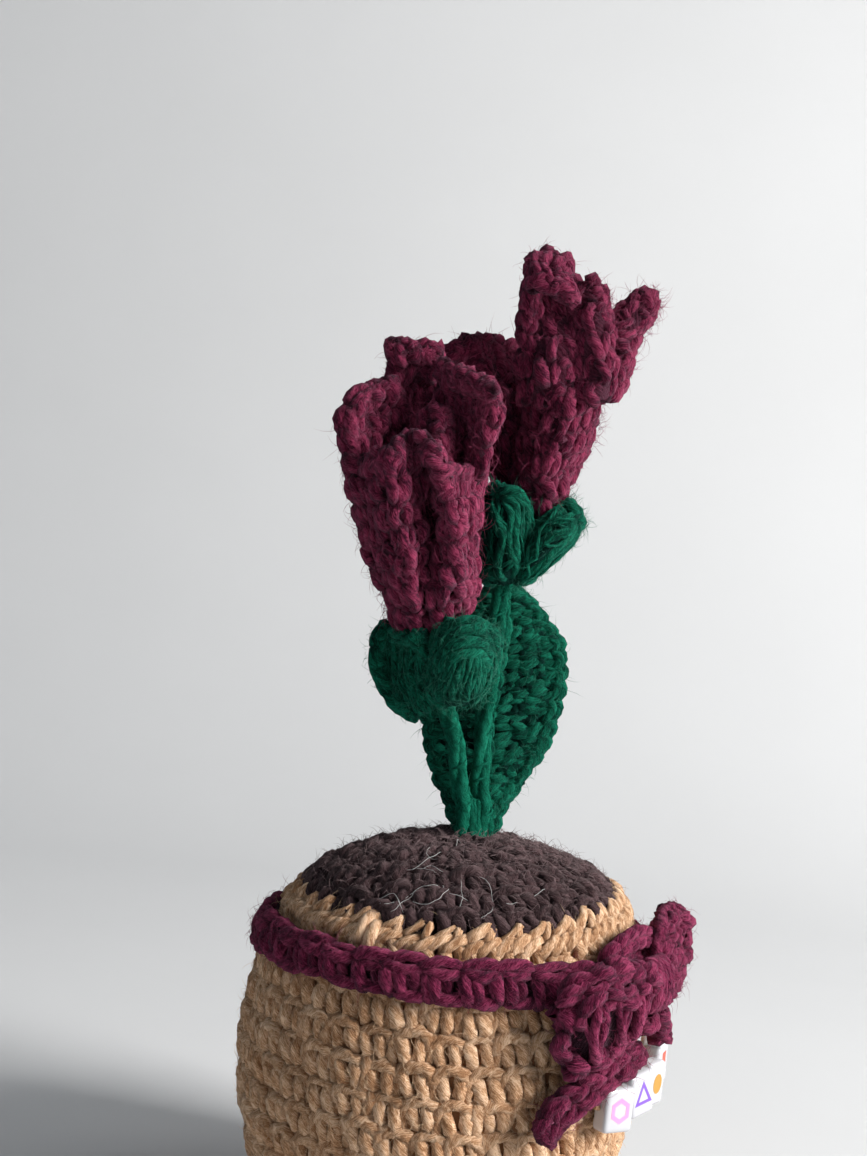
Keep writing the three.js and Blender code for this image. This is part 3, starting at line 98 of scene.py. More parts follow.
FLOWER_RIGHT_PETAL_HOOD = [
    [[1.6, -2, 128], [3.3, -5, 127.6], [5.5, -6.5, 127.3], [7.7, -6.2, 127.6], [9.8, -4.4, 128.3]],
    [[0.9, -4.6, 133], [2.5, -6, 132.8], [4.8, -8, 132.5], [7.2, -8, 132.6], [9.2, -5, 133.3]],
    [[0.4, -6.4, 137.2], [2.2, -5, 137.6], [4.6, -6.5, 137.3], [6.8, -7, 137.4], [8.7, -4.6, 137.9]],
    [[0.6, -7.6, 141.1], [2.5, -4.2, 142.2], [4.3, -4, 142.6], [6.4, -4.6, 142.4], [8.3, -4.8, 142.1]],
    [[0.9, -8, 144.2], [2.4, -3.8, 145.6], [4, -3.2, 146], [6, -3.8, 145.8], [7.6, -6, 144.7]],
    [[0.9, -7.2, 147.2], [2.1, -4.4, 148.8], [3.5, -3.8, 149.4], [4.9, -4.6, 148.7], [6.3, -7, 146.6]],
    [[0.8, -9.8, 147], [1.9, -8.6, 148.3], [3.2, -8.4, 148.8], [4.6, -8.8, 148.2], [6.1, -9.8, 146.4]],
    [[0.8, -11.2, 144.7], [2.2, -11.8, 145.1], [3.8, -12, 144.9], [5.5, -11.8, 144.5], [7.1, -11, 143.9]],
    [[0.9, -11, 143.4], [2.5, -11.8, 143.3], [4.2, -12, 143.2], [6.1, -11.6, 142.8], [7.9, -10.2, 142.4]],
]
FLOWER_RIGHT_PETAL_RIDGE = [
    [[10.5, -5.6, 128.6], [11.4, -6.8, 128.2], [12.6, -7, 128.3], [13.8, -5.6, 128.9], [14.9, -3, 129.9]],
    [[10, -5.2, 133.9], [10.9, -7.4, 133.4], [12.2, -8.2, 133.4], [13.5, -6.8, 134.2], [14.6, -3.8, 135.3]],
    [[9.6, -5, 138.4], [10.4, -7.4, 138], [11.6, -8.4, 138], [12.8, -7, 138.6], [13.8, -4, 139.7]],
    [[8.8, -5.2, 142.4], [9.7, -7.4, 142.4], [10.5, -8.2, 142.4], [11.7, -7, 142.2], [12.7, -4.4, 142.2]],
    [[8.1, -5.6, 144.8], [8.6, -7.2, 145.3], [9.5, -7.8, 145.6], [10.5, -7, 145.3], [11.7, -4.8, 144.6]],
]
FLOWER_RIGHT_PETAL_RIGHT = [
    [[13.7, 3, 130.6], [13.8, 0, 129.8], [14.3, -2.5, 129.3], [14.6, -3, 129.7], [15.2, -1, 130.8]],
    [[13.6, 2.5, 137.6], [14.1, -1, 136.2], [14.9, -4, 134.7], [15.9, -4, 134], [16.9, -1, 134.7]],
    [[13.7, 0, 141.9], [14.3, -2.5, 140.2], [15.2, -5, 138.5], [16.1, -4.5, 137.6], [16.9, -1, 137.6]],
    [[15.1, -3, 143.9], [16, -2.5, 143.1], [16.7, -4.5, 141.6], [17.6, -4, 140.6], [18.7, -0.5, 140.5]],
    [[17.5, -3.5, 145.4], [18.1, -2.5, 145.2], [18.6, -3, 144.2], [19.1, -2.5, 143.4], [19.7, -0.5, 143]],
    [[20, -1.5, 146.3], [20.1, -1.8, 146.1], [20.1, -1.9, 145.8], [20.2, -1.7, 145.5], [20.1, -1.3, 145.1]],
]
FLOWER_RIGHT_PETAL_LEFT = [
    [[-0.4, 4, 115.2], [0.4, 3, 114.8], [1.5, 3, 114.6], [2.6, 4, 114.8], [3.6, 5, 114.9]],
    [[-1.7, 4.5, 120.5], [-0.8, 3, 120.2], [0.3, 3.5, 120], [1.6, 5.5, 120.3], [2.9, 7.5, 120.9]],
    [[-4.2, 4, 126.1], [-2.8, 2.6, 126], [-1.1, 3, 126.1], [0.8, 5.5, 126.7], [2.6, 8, 127.4]],
    [[-7.5, 3, 130.4], [-5.5, 1.6, 130.4], [-3.2, 2, 130.7], [-0.7, 4.5, 131.4], [1.6, 7.5, 132.5]],
    [[-10.2, 1.6, 133.1], [-7.9, 0.6, 133.8], [-5.2, 1, 134.3], [-2.2, 4, 135], [0.4, 7, 135.5]],
    [[-10.8, 0.6, 134.4], [-8.8, -0.4, 135.9], [-6, 0.2, 137.2], [-2.9, 3.2, 137.3], [-0.3, 6.5, 137.3]],
]
FLOWER_RIGHT_PETAL_BACK = [
    [[2.9, 11, 129.5], [5.5, 12.5, 130], [8.6, 13, 130.3], [11.7, 12, 130.9], [14, 10, 131.4]],
    [[2, 13, 136.1], [4.9, 15, 136.7], [8.4, 15.5, 137.1], [11.7, 14.5, 137.7], [14.1, 11.5, 138.2]],
    [[1.7, 14, 141.9], [4.7, 16, 143], [8.1, 16.5, 143.8], [11.1, 15, 143.6], [13.4, 12, 142.7]],
    [[2.6, 15.5, 145.5], [5, 17, 147.2], [7.9, 17.5, 148.2], [10.3, 16, 147.4], [12.2, 13.5, 145.7]],
]
BRACT_RIGHT_FRONT = [
    [[0.2, -1, 100.5], [0.9, -3.5, 100.2], [1.8, -4.5, 100.1], [2.7, -3.5, 100.5], [3.6, -1, 101.2]],
    [[-1.7, 2, 102.8], [-0.8, -5, 102.3], [1.4, -8.5, 102.2], [3.3, -7, 102.8], [4.7, -2, 103.8]],
    [[-2.3, 3, 106.5], [-1.3, -6, 106], [0.9, -10, 106], [3.2, -8.5, 106.7], [4.7, -3, 107.7]],
    [[-2.2, 3, 110.9], [-1.3, -5.5, 110.5], [0.6, -9.5, 110.4], [2.6, -8.5, 110.8], [4.1, -4, 111.2]],
    [[-2, 3, 114.1], [-1.5, -2, 114.3], [-0.4, -6, 114.5], [0.9, -8, 113.8], [2.3, -7, 112.8]],
]
BRACT_RIGHT_SIDE = [
    [[2.4, -2, 101.1], [2.7, -3.5, 100.8], [3, -4, 100.5], [3.5, -3.5, 100.4], [4, -1, 100.5]],
    [[5, -3, 105.3], [5, -6.5, 104.5], [5.3, -8, 103.5], [5.9, -6.5, 102.7], [6.5, -2, 102.4]],
    [[6.7, -4, 108.8], [6.8, -7.5, 107.8], [7.5, -9, 106.5], [8.1, -7.5, 105.4], [9, -2.5, 105.1]],
    [[9, -3.5, 111.4], [9.4, -6.5, 110.4], [10, -8, 109.2], [10.6, -6.5, 108.3], [11.3, -2, 108]],
    [[11.2, -1, 113.2], [11.5, -3, 112.7], [12, -4, 112], [12.4, -3, 111.2], [12.9, -0.5, 110.5]],
]
BRACT_LEFT_SIDE = [
    [[-10.6, -13, 80], [-9.8, -13.5, 79.5], [-9, -14, 79.4], [-8.2, -14.5, 80.1], [-7.8, -15, 81.2]],
    [[-13.8, -12, 82.2], [-12.4, -11, 81.7], [-10.8, -13, 82], [-9.1, -15, 82.8], [-7.6, -16, 83.5]],
    [[-15.9, -12.5, 85.6], [-14.5, -9.5, 85.4], [-12.2, -11.5, 85.6], [-9.9, -15.5, 86.2], [-8, -17.5, 86.7]],
    [[-16.3, -13, 88.8], [-15, -10, 88.8], [-12.7, -12, 89], [-10.3, -16.5, 89.3], [-8.3, -18.5, 89.6]],
    [[-15.5, -12, 92], [-14.7, -10.5, 92.3], [-13.1, -14, 91.8], [-11.1, -18.5, 91.4], [-9.2, -19.5, 91.4]],
]
BRACT_LEFT_FRONT = [
    [[-6.4, -15, 82.1], [-5.2, -16, 81.7], [-3.7, -16.5, 81.7], [-2.3, -16, 82], [-1.2, -14.5, 82.6]],
    [[-7.5, -16, 84.6], [-6.1, -19, 84.5], [-3.8, -20, 84.6], [-1.4, -19, 85.2], [0.2, -15, 86]],
    [[-7.7, -17, 87.9], [-6.3, -20.5, 87.9], [-3.8, -22, 88.1], [-1.1, -20, 88.7], [1.1, -15, 89.4]],
    [[-7.3, -17, 90.8], [-6.1, -20.5, 91], [-3.7, -22, 91.4], [-1.1, -20, 91.5], [1.1, -15, 91.3]],
    [[-6.6, -17.5, 92.7], [-5.5, -19.5, 93.6], [-3.7, -20.5, 94.1], [-1.6, -18.5, 93.7], [0.2, -15, 92.5]],
]
LEAF = [
    [[-0.1, 2.5, 60.2], [0.8, 2.6, 60], [1.7, 2.7, 60.1], [2.8, 2.6, 60.2], [3.7, 2.5, 60.6]],
    [[-2.8, 6, 65.1], [-0.6, 4.8, 65], [1.8, 3.8, 65.4], [4.4, 4.2, 66.1], [6.6, 5, 67]],
    [[-5.4, 8, 70.1], [-1.9, 6.2, 70.4], [1.9, 4.4, 70.8], [6.4, 4.8, 71.7], [10, 6, 72.9]],
    [[-7.3, 9, 75.9], [-2.9, 6.8, 76.4], [1.9, 4.8, 77.1], [7.4, 5.2, 77.8], [12.1, 6.5, 78.8]],
    [[-7.6, 8.5, 81.8], [-3.2, 6.8, 82.7], [1.7, 5, 83.5], [7.8, 5.4, 84.3], [13, 7, 85.5]],
    [[-6.2, 8, 88.1], [-2.6, 6.8, 88.8], [1.9, 5.4, 89.5], [7.5, 5.8, 89.9], [12.3, 7.5, 90.7]],
    [[-3.3, 8, 94.3], [-0.8, 7.2, 94.9], [2.3, 6.4, 95.2], [6, 6.8, 95], [9.1, 8, 94.9]],
    [[-0, 8.5, 98], [1.2, 8, 98.7], [2.8, 7.7, 99.4], [4.3, 8, 99.2], [5.5, 8.5, 98.4]],
]
BOW_LOOP_LEFT = [
    [[28.2, -18.3, 47.4], [28.6, -18.3, 45.7], [29, -18.2, 44], [28.9, -17.9, 42], [28.8, -17.3, 40]],
    [[23.9, -23.9, 48.8], [24, -25.5, 46.2], [24, -26, 43.2], [23.8, -25.7, 40.3], [23.7, -24.1, 37.7]],
    [[19.6, -27.8, 48.7], [19.4, -29.8, 45.9], [19.5, -30.3, 42.4], [19.9, -29.2, 38.9], [20.5, -27.1, 35.9]],
    [[16.5, -29.2, 46.8], [16.2, -30.6, 43.9], [16.2, -31, 40.6], [16.9, -29.9, 37.3], [18.3, -27.9, 34.5]],
    [[15, -29.4, 45.2], [14.9, -29.7, 42.6], [15, -29.6, 39.6], [15.8, -29.2, 36.5], [17.2, -28.1, 34.2]],
]
BOW_TAIL_LEFT = [
    [[26.5, -20.1, 37.1], [27.3, -18.9, 36], [28.2, -17.1, 34.7]],
    [[22.2, -24.7, 35.1], [23.5, -23.7, 34], [24.9, -21.6, 32.5]],
    [[17.6, -28.4, 32.8], [19.1, -27.7, 31.6], [20.3, -26.2, 30.2]],
    [[14.6, -29.8, 30.4], [16.3, -29.1, 29.3], [18, -27.7, 27.8]],
    [[13.1, -30, 27.5], [14.5, -29.7, 26.8], [15.9, -28.7, 25.9]],
    [[13.9, -29.5, 24.9], [14.5, -29.2, 24.6], [15, -28.9, 24.4]],
]
BOW_LOOP_RIGHT = [
    [[28.4, -14, 47.9], [28.9, -14.5, 46.3], [29.3, -15, 44.7], [29.6, -14.5, 42.9], [29.5, -14, 41.4]],
    [[29.4, -10, 50.7], [29.9, -12, 48.9], [30.4, -13, 46.7], [30.9, -12.5, 44], [31.1, -10.5, 41.4]],
    [[30.3, -5, 52.1], [31.3, -7, 50.4], [31.9, -8.5, 47.9], [32.3, -8.5, 44.8], [32.6, -6.5, 41.5]],
    [[31.5, 0, 52.6], [33, -1.5, 51.5], [33.6, -3, 49.2], [33.7, -3.5, 45.5], [33.8, -1.5, 41.3]],
    [[33.1, 5, 52.1], [34.7, 4.5, 51.3], [35.2, 3.5, 49], [34.9, 3, 45.5], [34.8, 4.5, 40.9]],
]
BOW_TAIL_RIGHT = [
    [[29, -13, 40.4], [29.8, -13.6, 40.5], [31, -12.4, 40.4]],
    [[29.7, -11, 38.6], [30.5, -11.8, 38.7], [31.7, -10.4, 38.7]],
    [[30.6, -8.6, 36.7], [31.3, -9.4, 36.9], [32.4, -8, 36.8]],
    [[31.4, -6, 34.8], [32, -6.8, 34.9], [33.1, -5.4, 34.8]],
]

# ---------------------------------------------------------------- surfaces
def unit(a):
    return a / np.maximum(np.linalg.norm(a, axis=-1, keepdims=True), 1e-12)


def spline(P, s, closed=False):
    """Catmull-Rom through P along its first axis, at s in control steps."""
    n = len(P)
    s = np.asarray(s, float)
    if closed:
        i = np.floor(s).astype(int)
        t = s - i
        q = [P[(i + k) % n] for k in (-1, 0, 1, 2)]
    else:
        i = np.clip(np.floor(s).astype(int), 0, n - 2)
        t = s - i
        Q = np.concatenate([[2 * P[0] - P[1]], P, [2 * P[-1] - P[-2]]])
        q = [Q[i + k] for k in (0, 1, 2, 3)]
    t = t.reshape(t.shape + (1,) * (P.ndim - 1))
    a, b, c, d = q
    return 0.5 * (2 * b + (c - a) * t + (2 * a - 5 * b + 4 * c - d) * t**2 + (3 * b - a - 3 * c + d) * t**3)


class Patch:
    """Surface through a control grid, with even arc length across and along."""

    def __init__(self, grid, closed=False, n=96, smooth=0.0):
        G = np.array(grid, float)
        rows, cols = G.shape[:2]
        A = spline(G, np.linspace(0, rows - 1, n + 1))
        su = np.linspace(0, cols, n + 1) if closed else np.linspace(0, cols - 1, n + 1)
        D = spline(A.transpose(1, 0, 2), su, closed).transpose(1, 0, 2)  # v, u, 3
        step = np.linalg.norm(np.diff(D, axis=0), axis=2).mean(axis=1)
        length = np.concatenate([[0], np.cumsum(step)])
        self.length = length[-1]
        want = np.linspace(0, length[-1], n + 1)
        k = np.clip(np.searchsorted(length, want) - 1, 0, n - 1)
        t = ((want - length[k]) / (length[k + 1] - length[k]))[:, None, None]
        D = D[k] * (1 - t) + D[k + 1] * t
        out = np.empty_like(D)
        self.width = np.empty(n + 1)
        for j in range(n + 1):
            c = np.concatenate([[0], np.cumsum(np.linalg.norm(np.diff(D[j], axis=0), axis=1))])
            self.width[j] = c[-1]
            w = np.linspace(0, c[-1], n + 1)
            for a in range(3):
                out[j, :, a] = np.interp(w, c, D[j, :, a])
        self.P, self.n, self.closed = out, n, closed
        du = np.gradient(out, axis=1)
        if closed:
            du[:, 0] = du[:, -1] = (out[:, 1] - out[:, -2]) / 2
        dv = np.gradient(out, axis=0)
        N = unit(np.cross(du, dv))
        for _ in range(3):
            M = N.copy()
            M[1:-1] += N[2:] + N[:-2]
            M[:, 1:-1] += N[:, 2:] + N[:, :-2]
            N = unit(M)
        if closed:
            N[:, 0] = N[:, -1] = unit(N[:, 0] + N[:, -1])
            middle = out.mean(axis=1, keepdims=True)
            if ((out - middle) * N).sum(axis=2).mean() < 0:
                N = -N
        self.N = N

    def width_at(self, v):
        return float(np.interp(v, np.linspace(0, 1, self.n + 1), self.width))

    def at(self, u, v, w):
        u, v, w = np.broadcast_arrays(np.asarray(u, float), np.asarray(v, float), np.asarray(w, float))
        n = self.n
        if self.closed:
            u = u % 1.0
        x, y = u * n, v * n
        i, j = np.clip(np.floor(x).astype(int), 0, n - 1), np.clip(np.floor(y).astype(int), 0, n - 1)
        a, b = (x - i)[..., None], (y - j)[..., None]

        def mix(F):
            return (F[j, i] * (1 - a) + F[j, i + 1] * a) * (1 - b) + (F[j + 1, i] * (1 - a) + F[j + 1, i + 1] * a) * b

        N = unit(mix(self.N))
        return mix(self.P) + N * w[..., None], N


def settle(P):
    """The hand-made pot leans: its belly to the left, its rim to the right."""
    def step(a, lo, hi):
        t = np.clip((a - lo) / (hi - lo), 0, 1)
        return t * t * (3 - 2 * t)

    x, z = P[..., 0], P[..., 2]
    rim = step(z, 40, 52)
    Q = P.copy()
    Q[..., 0] = x - POT_SHIFT * step(z, 8, 22) * (1 - step(z, 32, 46)) + RIM_SHIFT * rim
    Q[..., 2] = z + RIM_TILT * x * rim
    return Q


class Lathe:
    """Surface of revolution; u is a turn from the front towards +X, v runs along the profile."""

    closed = True

    def __init__(self, profile, flip=False):
        P = np.array(profile, float)
        d = spline(P, np.linspace(0, len(P) - 1, 400))
        c = np.concatenate([[0], np.cumsum(np.linalg.norm(np.diff(d, axis=0), axis=1))])
        self.length, self.c, self.d = c[-1], c / c[-1], d
        t = unit(np.gradient(d, axis=0))
        self.nrm = np.stack([t[:, 1], -t[:, 0]], axis=1) * (-1 if flip else 1)

    def rz(self, v):
        v = np.asarray(v, float)
        e = np.clip(v, 0, 1)
        r, z = np.interp(e, self.c, self.d[:, 0]), np.interp(e, self.c, self.d[:, 1])
        nr, nz = np.interp(e, self.c, self.nrm[:, 0]), np.interp(e, self.c, self.nrm[:, 1])
        over = (v - e) * self.length
        r = r - nz * over if self.nrm[0, 0] > 0 or True else r
        z = z + nr * over
        return r, z, nr, nz

    def width_at(self, v):
        return float(2 * math.pi * max(self.rz(v)[0], 0.1))

    def at(self, u, v, w):
        u, v, w = np.broadcast_arrays(np.asarray(u, float), np.asarray(v, float), np.asarray(w, float))
        r, z, nr, nz = self.rz(v)
        a = u * 2 * math.pi
        N = np.stack([nr * np.sin(a), -nr * np.cos(a), nz], axis=-1)
        P = np.stack([r * np.sin(a), -r * np.cos(a), z], axis=-1)
        return settle(P + N * w[..., None]), N


class Part:
    """A stretch of a lathe between two edges that may wander round it."""

    closed = True

    def __init__(self, lathe, low, high):
        self.lathe, self.low, self.high = lathe, low, high
        self.length = lathe.length * float(np.mean(high(np.linspace(0, 1, 24)) - low(np.linspace(0, 1, 24))))

    def width_at(self, v):
        return self.lathe.width_at(self.low(0.0) + (self.high(0.0) - self.low(0.0)) * v)

    def at(self, u, v, w):
        u, v, w = np.broadcast_arrays(np.asarray(u, float), np.asarray(v, float), np.asarray(w, float))
        a, b = self.low(u), self.high(u)
        return self.lathe.at(u, a + (b - a) * v, w)


# ---------------------------------------------------------------- mesh building
class Piece:
    """Collects closed yarn strands and shells, with one texture cell for each."""

    def __init__(self, core=-0.3):
        self.v, self.f3, self.f4, self.yarn, self.cell = [], [], [], [], []
        self.count = 0
        self.cells = 0
        self.shells = 0
        # core is the painted light level of the shells: low values paint them dark as shade
        self.core = core

    def strands(self, C, N, R, S=7, amp=0.07, twist=0.4, flat=1.0, shade=None, lobes=3, painted_light_level=None, swell=0.06):
        """C centres (M,K,3), N reference normals, R radii (M,K), all in mm; the corner value for painted shade is 0
        where a strand dives in.
        """
        M, K = C.shape[:2]
        R = np.broadcast_to(R, (M, K)).astype(float)
        if swell:
            t = np.linspace(0, 1, K)[None]
            R = R * (1 + swell * np.sin(t * rng.uniform(5, 9, (M, 1)) + rng.uniform(0, 6.28, (M, 1))))
        painted_light_level = np.ones((M, K)) if painted_light_level is None else np.broadcast_to(painted_light_level, (M, K))
        T = unit(np.gradient(C, axis=1))
        Nn = unit(N - (N * T).sum(-1, keepdims=True) * T)
        B = np.cross(T, Nn)
        step = np.linalg.norm(np.diff(C, axis=1), axis=2)
        along = np.concatenate([np.zeros((M, 1)), np.cumsum(step, axis=1)], axis=1)
        ang = 2 * math.pi * np.arange(S) / S
        turn = along[..., None] * twist + rng.uniform(0, 6.28, (M, 1, 1)) + ang
        lob = (1 + amp * np.cos(lobes * ang))[None, None] * (1 + rng.normal(0, 0.03, (M, K, S)))
        off = (np.cos(turn) * flat)[..., None] * Nn[:, :, None] + np.sin(turn)[..., None] * B[:, :, None]
        ring = C[:, :, None] + off * (R[..., None] * lob)[..., None]
        caps = np.stack([C[:, 0] - T[:, 0] * R[:, :1] * 0.45, C[:, -1] + T[:, -1] * R[:, -1:] * 0.45], axis=1)
        base = self.count
        verts = np.concatenate([ring.reshape(M, K * S, 3), caps], axis=1)
        per = K * S + 2
        self.v.append(verts.reshape(-1, 3))
        k, s = np.meshgrid(np.arange(K - 1), np.arange(S), indexing="ij")
        s2 = (s + 1) % S
        quad = np.stack([k * S + s, k * S + s2, (k + 1) * S + s2, (k + 1) * S + s], axis=-1).reshape(-1, 4)
        a = np.arange(S)
        low = np.stack([np.full(S, K * S), (a + 1) % S, a], axis=-1)
        high = np.stack([np.full(S, K * S + 1), (K - 1) * S + a, (K - 1) * S + (a + 1) % S], axis=-1)
        tri = np.concatenate([low, high])
        start = base + per * np.arange(M)
        self.f4.append((quad[None] + start[:, None, None]).reshape(-1, 4))
        self.f3.append((tri[None] + start[:, None, None]).reshape(-1, 3))
        # corner data: (along mm, round 0..1, shade) and the place in the cell
        shade = rng.uniform(0, 1, M) if shade is None else np.broadcast_to(shade, (M,))
        kq = np.stack([k, k, k + 1, k + 1], axis=-1).reshape(-1, 4)
        sq = np.stack([s, s + 1, s + 1, s], axis=-1).reshape(-1, 4)
        aq = along[:, kq]
        yq = np.stack([aq, np.broadcast_to(sq / S, aq.shape), np.broadcast_to(shade[:, None, None], aq.shape)], axis=-1)
        cu = np.broadcast_to(0.04 + 0.92 * sq / S, aq.shape)
        cv = np.broadcast_to(0.12 + 0.76 * kq / (K - 1), aq.shape)
        ids = (self.cells + np.arange(M))[:, None, None]
        self.yarn.append(("q", yq.reshape(-1, 3), np.stack([cu, cv, np.broadcast_to(ids, aq.shape)], axis=-1).reshape(-1, 3), painted_light_level[:, kq].reshape(-1)))
        ta = np.concatenate([np.stack([a + 0.5, a + 1, a], axis=-1), np.stack([a + 0.5, a, a + 1], axis=-1)]) / S
        tv = np.concatenate([np.tile([0.02, 0.12, 0.12], (S, 1)), np.tile([0.98, 0.88, 0.88], (S, 1))])
        al = np.concatenate([np.zeros((M, S, 3)), np.repeat(np.repeat(along[:, -1:, None], S, 1), 3, 2)], axis=1)
        yt = np.stack([al, np.broadcast_to(ta, al.shape), np.broadcast_to(shade[:, None, None], al.shape)], axis=-1)
        ct = np.stack([np.broadcast_to(0.04 + 0.92 * ta, al.shape), np.broadcast_to(tv, al.shape), np.broadcast_to(ids, al.shape)], axis=-1)
        dt = np.concatenate([np.repeat(painted_light_level[:, :1, None], S, 1).repeat(3, 2), np.repeat(painted_light_level[:, -1:, None], S, 1).repeat(3, 2)], axis=1)
        self.yarn.append(("t", yt.reshape(-1, 3), ct.reshape(-1, 3), dt.reshape(-1)))
        self.cells += M
        self.count += M * per

    def whiskers(self, C, N, R):
        """Fine three-sided fibres that end in a point."""
        M, K = C.shape[:2]
        T = unit(np.gradient(C, axis=1))
        Nn = unit(N - (N * T).sum(-1, keepdims=True) * T)
        B = np.cross(T, Nn)
        ang = 2 * math.pi * np.arange(3) / 3
        off = np.cos(ang)[:, None] * Nn[:, :-1, None] + np.sin(ang)[:, None] * B[:, :-1, None]
        ring = C[:, :-1, None] + off * R[:, :-1, None, None]
        per = (K - 1) * 3 + 1
        self.v.append(np.concatenate([ring.reshape(M, (K - 1) * 3, 3), C[:, -1:]], axis=1).reshape(-1, 3))
        k, s = np.meshgrid(np.arange(K - 2), np.arange(3), indexing="ij")
        s2 = (s + 1) % 3
        quad = np.stack([k * 3 + s, k * 3 + s2, (k + 1) * 3 + s2, (k + 1) * 3 + s], axis=-1).reshape(-1, 4)
        a = np.arange(3)
        tip = np.stack([np.full(3, per - 1), (K - 2) * 3 + a, (K - 2) * 3 + (a + 1) % 3], axis=-1)
        tri = np.concatenate([tip, [[2, 1, 0]]])
        start = self.count + per * np.arange(M)
        self.f4.append((quad[None] + start[:, None, None]).reshape(-1, 4))
        self.f3.append((tri[None] + start[:, None, None]).reshape(-1, 3))
        cu = np.stack([s, s + 1, s + 1, s], axis=-1).reshape(-1, 4) / 3
        cv = np.stack([k, k, k + 1, k + 1], axis=-1).reshape(-1, 4) / (K - 2)
        ids = (self.cells + np.arange(M))[:, None, None]
        shape = (M,) + cu.shape
        self.yarn.append(("q", np.zeros((cu.size * M, 3)), np.stack([np.broadcast_to(0.05 + 0.9 * cu, shape), np.broadcast_to(0.15 + 0.65 * cv, shape), np.broadcast_to(ids, shape)], axis=-1).reshape(-1, 3), np.ones(cu.size * M)))
        tu = np.array([[0.5, 0, 1], [1.5, 1, 2], [2.5, 2, 3], [0.3, 2.7, 1.5]]) / 3
        tv = np.array([[0.98, 0.8, 0.8]] * 3 + [[0.02, 0.02, 0.12]])
        shape = (M, 4, 3)
        self.yarn.append(("t", np.zeros((12 * M, 3)), np.stack([np.broadcast_to(0.05 + 0.9 * tu, shape), np.broadcast_to(tv, shape), np.broadcast_to(ids, shape)], axis=-1).reshape(-1, 3), np.ones(12 * M)))
        self.cells += M
        self.count += M * per

    def shell(self, rings, close_u=True, cap=True):
        """Closed body from rings (K,S,3); the ends are fanned to their middles."""
        K, S = rings.shape[:2]
        base = self.count
        mid = np.stack([rings[0].mean(0), rings[-1].mean(0)])
        self.v.append(np.concatenate([rings.reshape(-1, 3), mid]))
        k, s = np.meshgrid(np.arange(K - 1), np.arange(S), indexing="ij")
        s2 = (s + 1) % S
        quad = np.stack([k * S + s, k * S + s2, (k + 1) * S + s2, (k + 1) * S + s], axis=-1).reshape(-1, 4) + base
        a = np.arange(S)
        tri = np.concatenate([
            np.stack([np.full(S, K * S), (a + 1) % S, a], axis=-1),
            np.stack([np.full(S, K * S + 1), (K - 1) * S + a, (K - 1) * S + (a + 1) % S], axis=-1)]) + base
        self.f4.append(quad)
        self.f3.append(tri)
        sq = np.stack([s, s + 1, s + 1, s], axis=-1).reshape(-1, 4) / S
        kq = np.stack([k, k, k + 1, k + 1], axis=-1).reshape(-1, 4) / (K - 1)
        idn = -1 - self.shells
        y = np.stack([kq * 40, sq * 10, np.full(sq.shape, 0.2)], axis=-1).reshape(-1, 3)
        # the shell's colour carries the piece's painted shade level
        self.yarn.append(("q", y, np.stack([0.02 + 0.96 * sq, 0.04 + 0.92 * kq, np.full(sq.shape, idn)], axis=-1).reshape(-1, 3), np.full(sq.size, self.core)))
        ta = np.concatenate([np.stack([a + 0.5, a + 1, a], axis=-1), np.stack([a + 0.5, a, a + 1], axis=-1)]) / S
        tv = np.concatenate([np.tile([0.01, 0.04, 0.04], (S, 1)), np.tile([0.99, 0.96, 0.96], (S, 1))])
        self.yarn.append(("t", np.stack([tv * 40, ta * 10, np.full(ta.shape, 0.2)], axis=-1).reshape(-1, 3),
                          np.stack([0.02 + 0.96 * ta, tv, np.full(ta.shape, idn)], axis=-1).reshape(-1, 3), np.full(ta.size, self.core)))
        self.shells += 1
        self.count += K * S + 2

    def sheet(self, patch, t, u0=0.0, u1=1.0, v0=0.0, v1=1.0, nu=16, nv=20, w=0.0):
        """Closed thin core of a patch, as rings round its section."""
        u = np.linspace(u0, u1, nu + 1)
        vs = np.linspace(v0, v1, nv + 1)
        rings = []
        for v in vs:
            front, _ = patch.at(u, v, w + t / 2)
            back, _ = patch.at(u[::-1], v, w - t / 2)
            rings.append(np.concatenate([front, back]))
        self.shell(np.array(rings))

    def cup(self, patch, w_out, w_in, v0=0.0, v1=1.0, nu=48, nv=20):
        """Closed wall of a trumpet or pot: up the outside, over the rim, down the inside."""
        u = np.arange(nu) / nu
        up = [patch.at(u, v, w_out)[0] for v in np.linspace(v0, v1, nv + 1)]
        down = [patch.at(u, v, w_in)[0] for v in np.linspace(v1, v0 + 0.04, nv + 1)]
        self.shell(np.array(up + down))

    def hoop(self, patch, w_out, w_in, v0=0.0, v1=1.0, nu=48, nv=20):
        """Closed wall with no floor: up the outside, over, down the inside and back to the start."""
        u = np.arange(nu) / nu
        up = [patch.at(u, v, w_out)[0] for v in np.linspace(v0, v1, nv + 1)]
        down = [patch.at(u, v, w_in)[0] for v in np.linspace(v1, v0, nv + 1)]
        rings = np.array(up + down)
        K, S = rings.shape[:2]
        self.v.append(rings.reshape(-1, 3))
        k, s = np.meshgrid(np.arange(K), np.arange(S), indexing="ij")
        k2, s2 = (k + 1) % K, (s + 1) % S
        self.f4.append(np.stack([k * S + s, k * S + s2, k2 * S + s2, k2 * S + s], axis=-1).reshape(-1, 4) + self.count)
        sq = np.stack([s, s + 1, s + 1, s], axis=-1).reshape(-1, 4) / S
        kq = np.stack([k, k, k + 1, k + 1], axis=-1).reshape(-1, 4) / K
        y = np.stack([kq * 40, sq * 10, np.full(sq.shape, 0.2)], axis=-1).reshape(-1, 3)
        cell = np.stack([0.02 + 0.96 * sq, 0.04 + 0.92 * kq, np.full(sq.shape, -1 - self.shells)], axis=-1).reshape(-1, 3)
        # the wall's colour carries the piece's painted shade level
        self.yarn.append(("q", y, cell, np.full(sq.size, self.core)))
        self.shells += 1
        self.count += K * S

    def build(self, name, material, smooth=True):
        v = np.concatenate(self.v) * MM
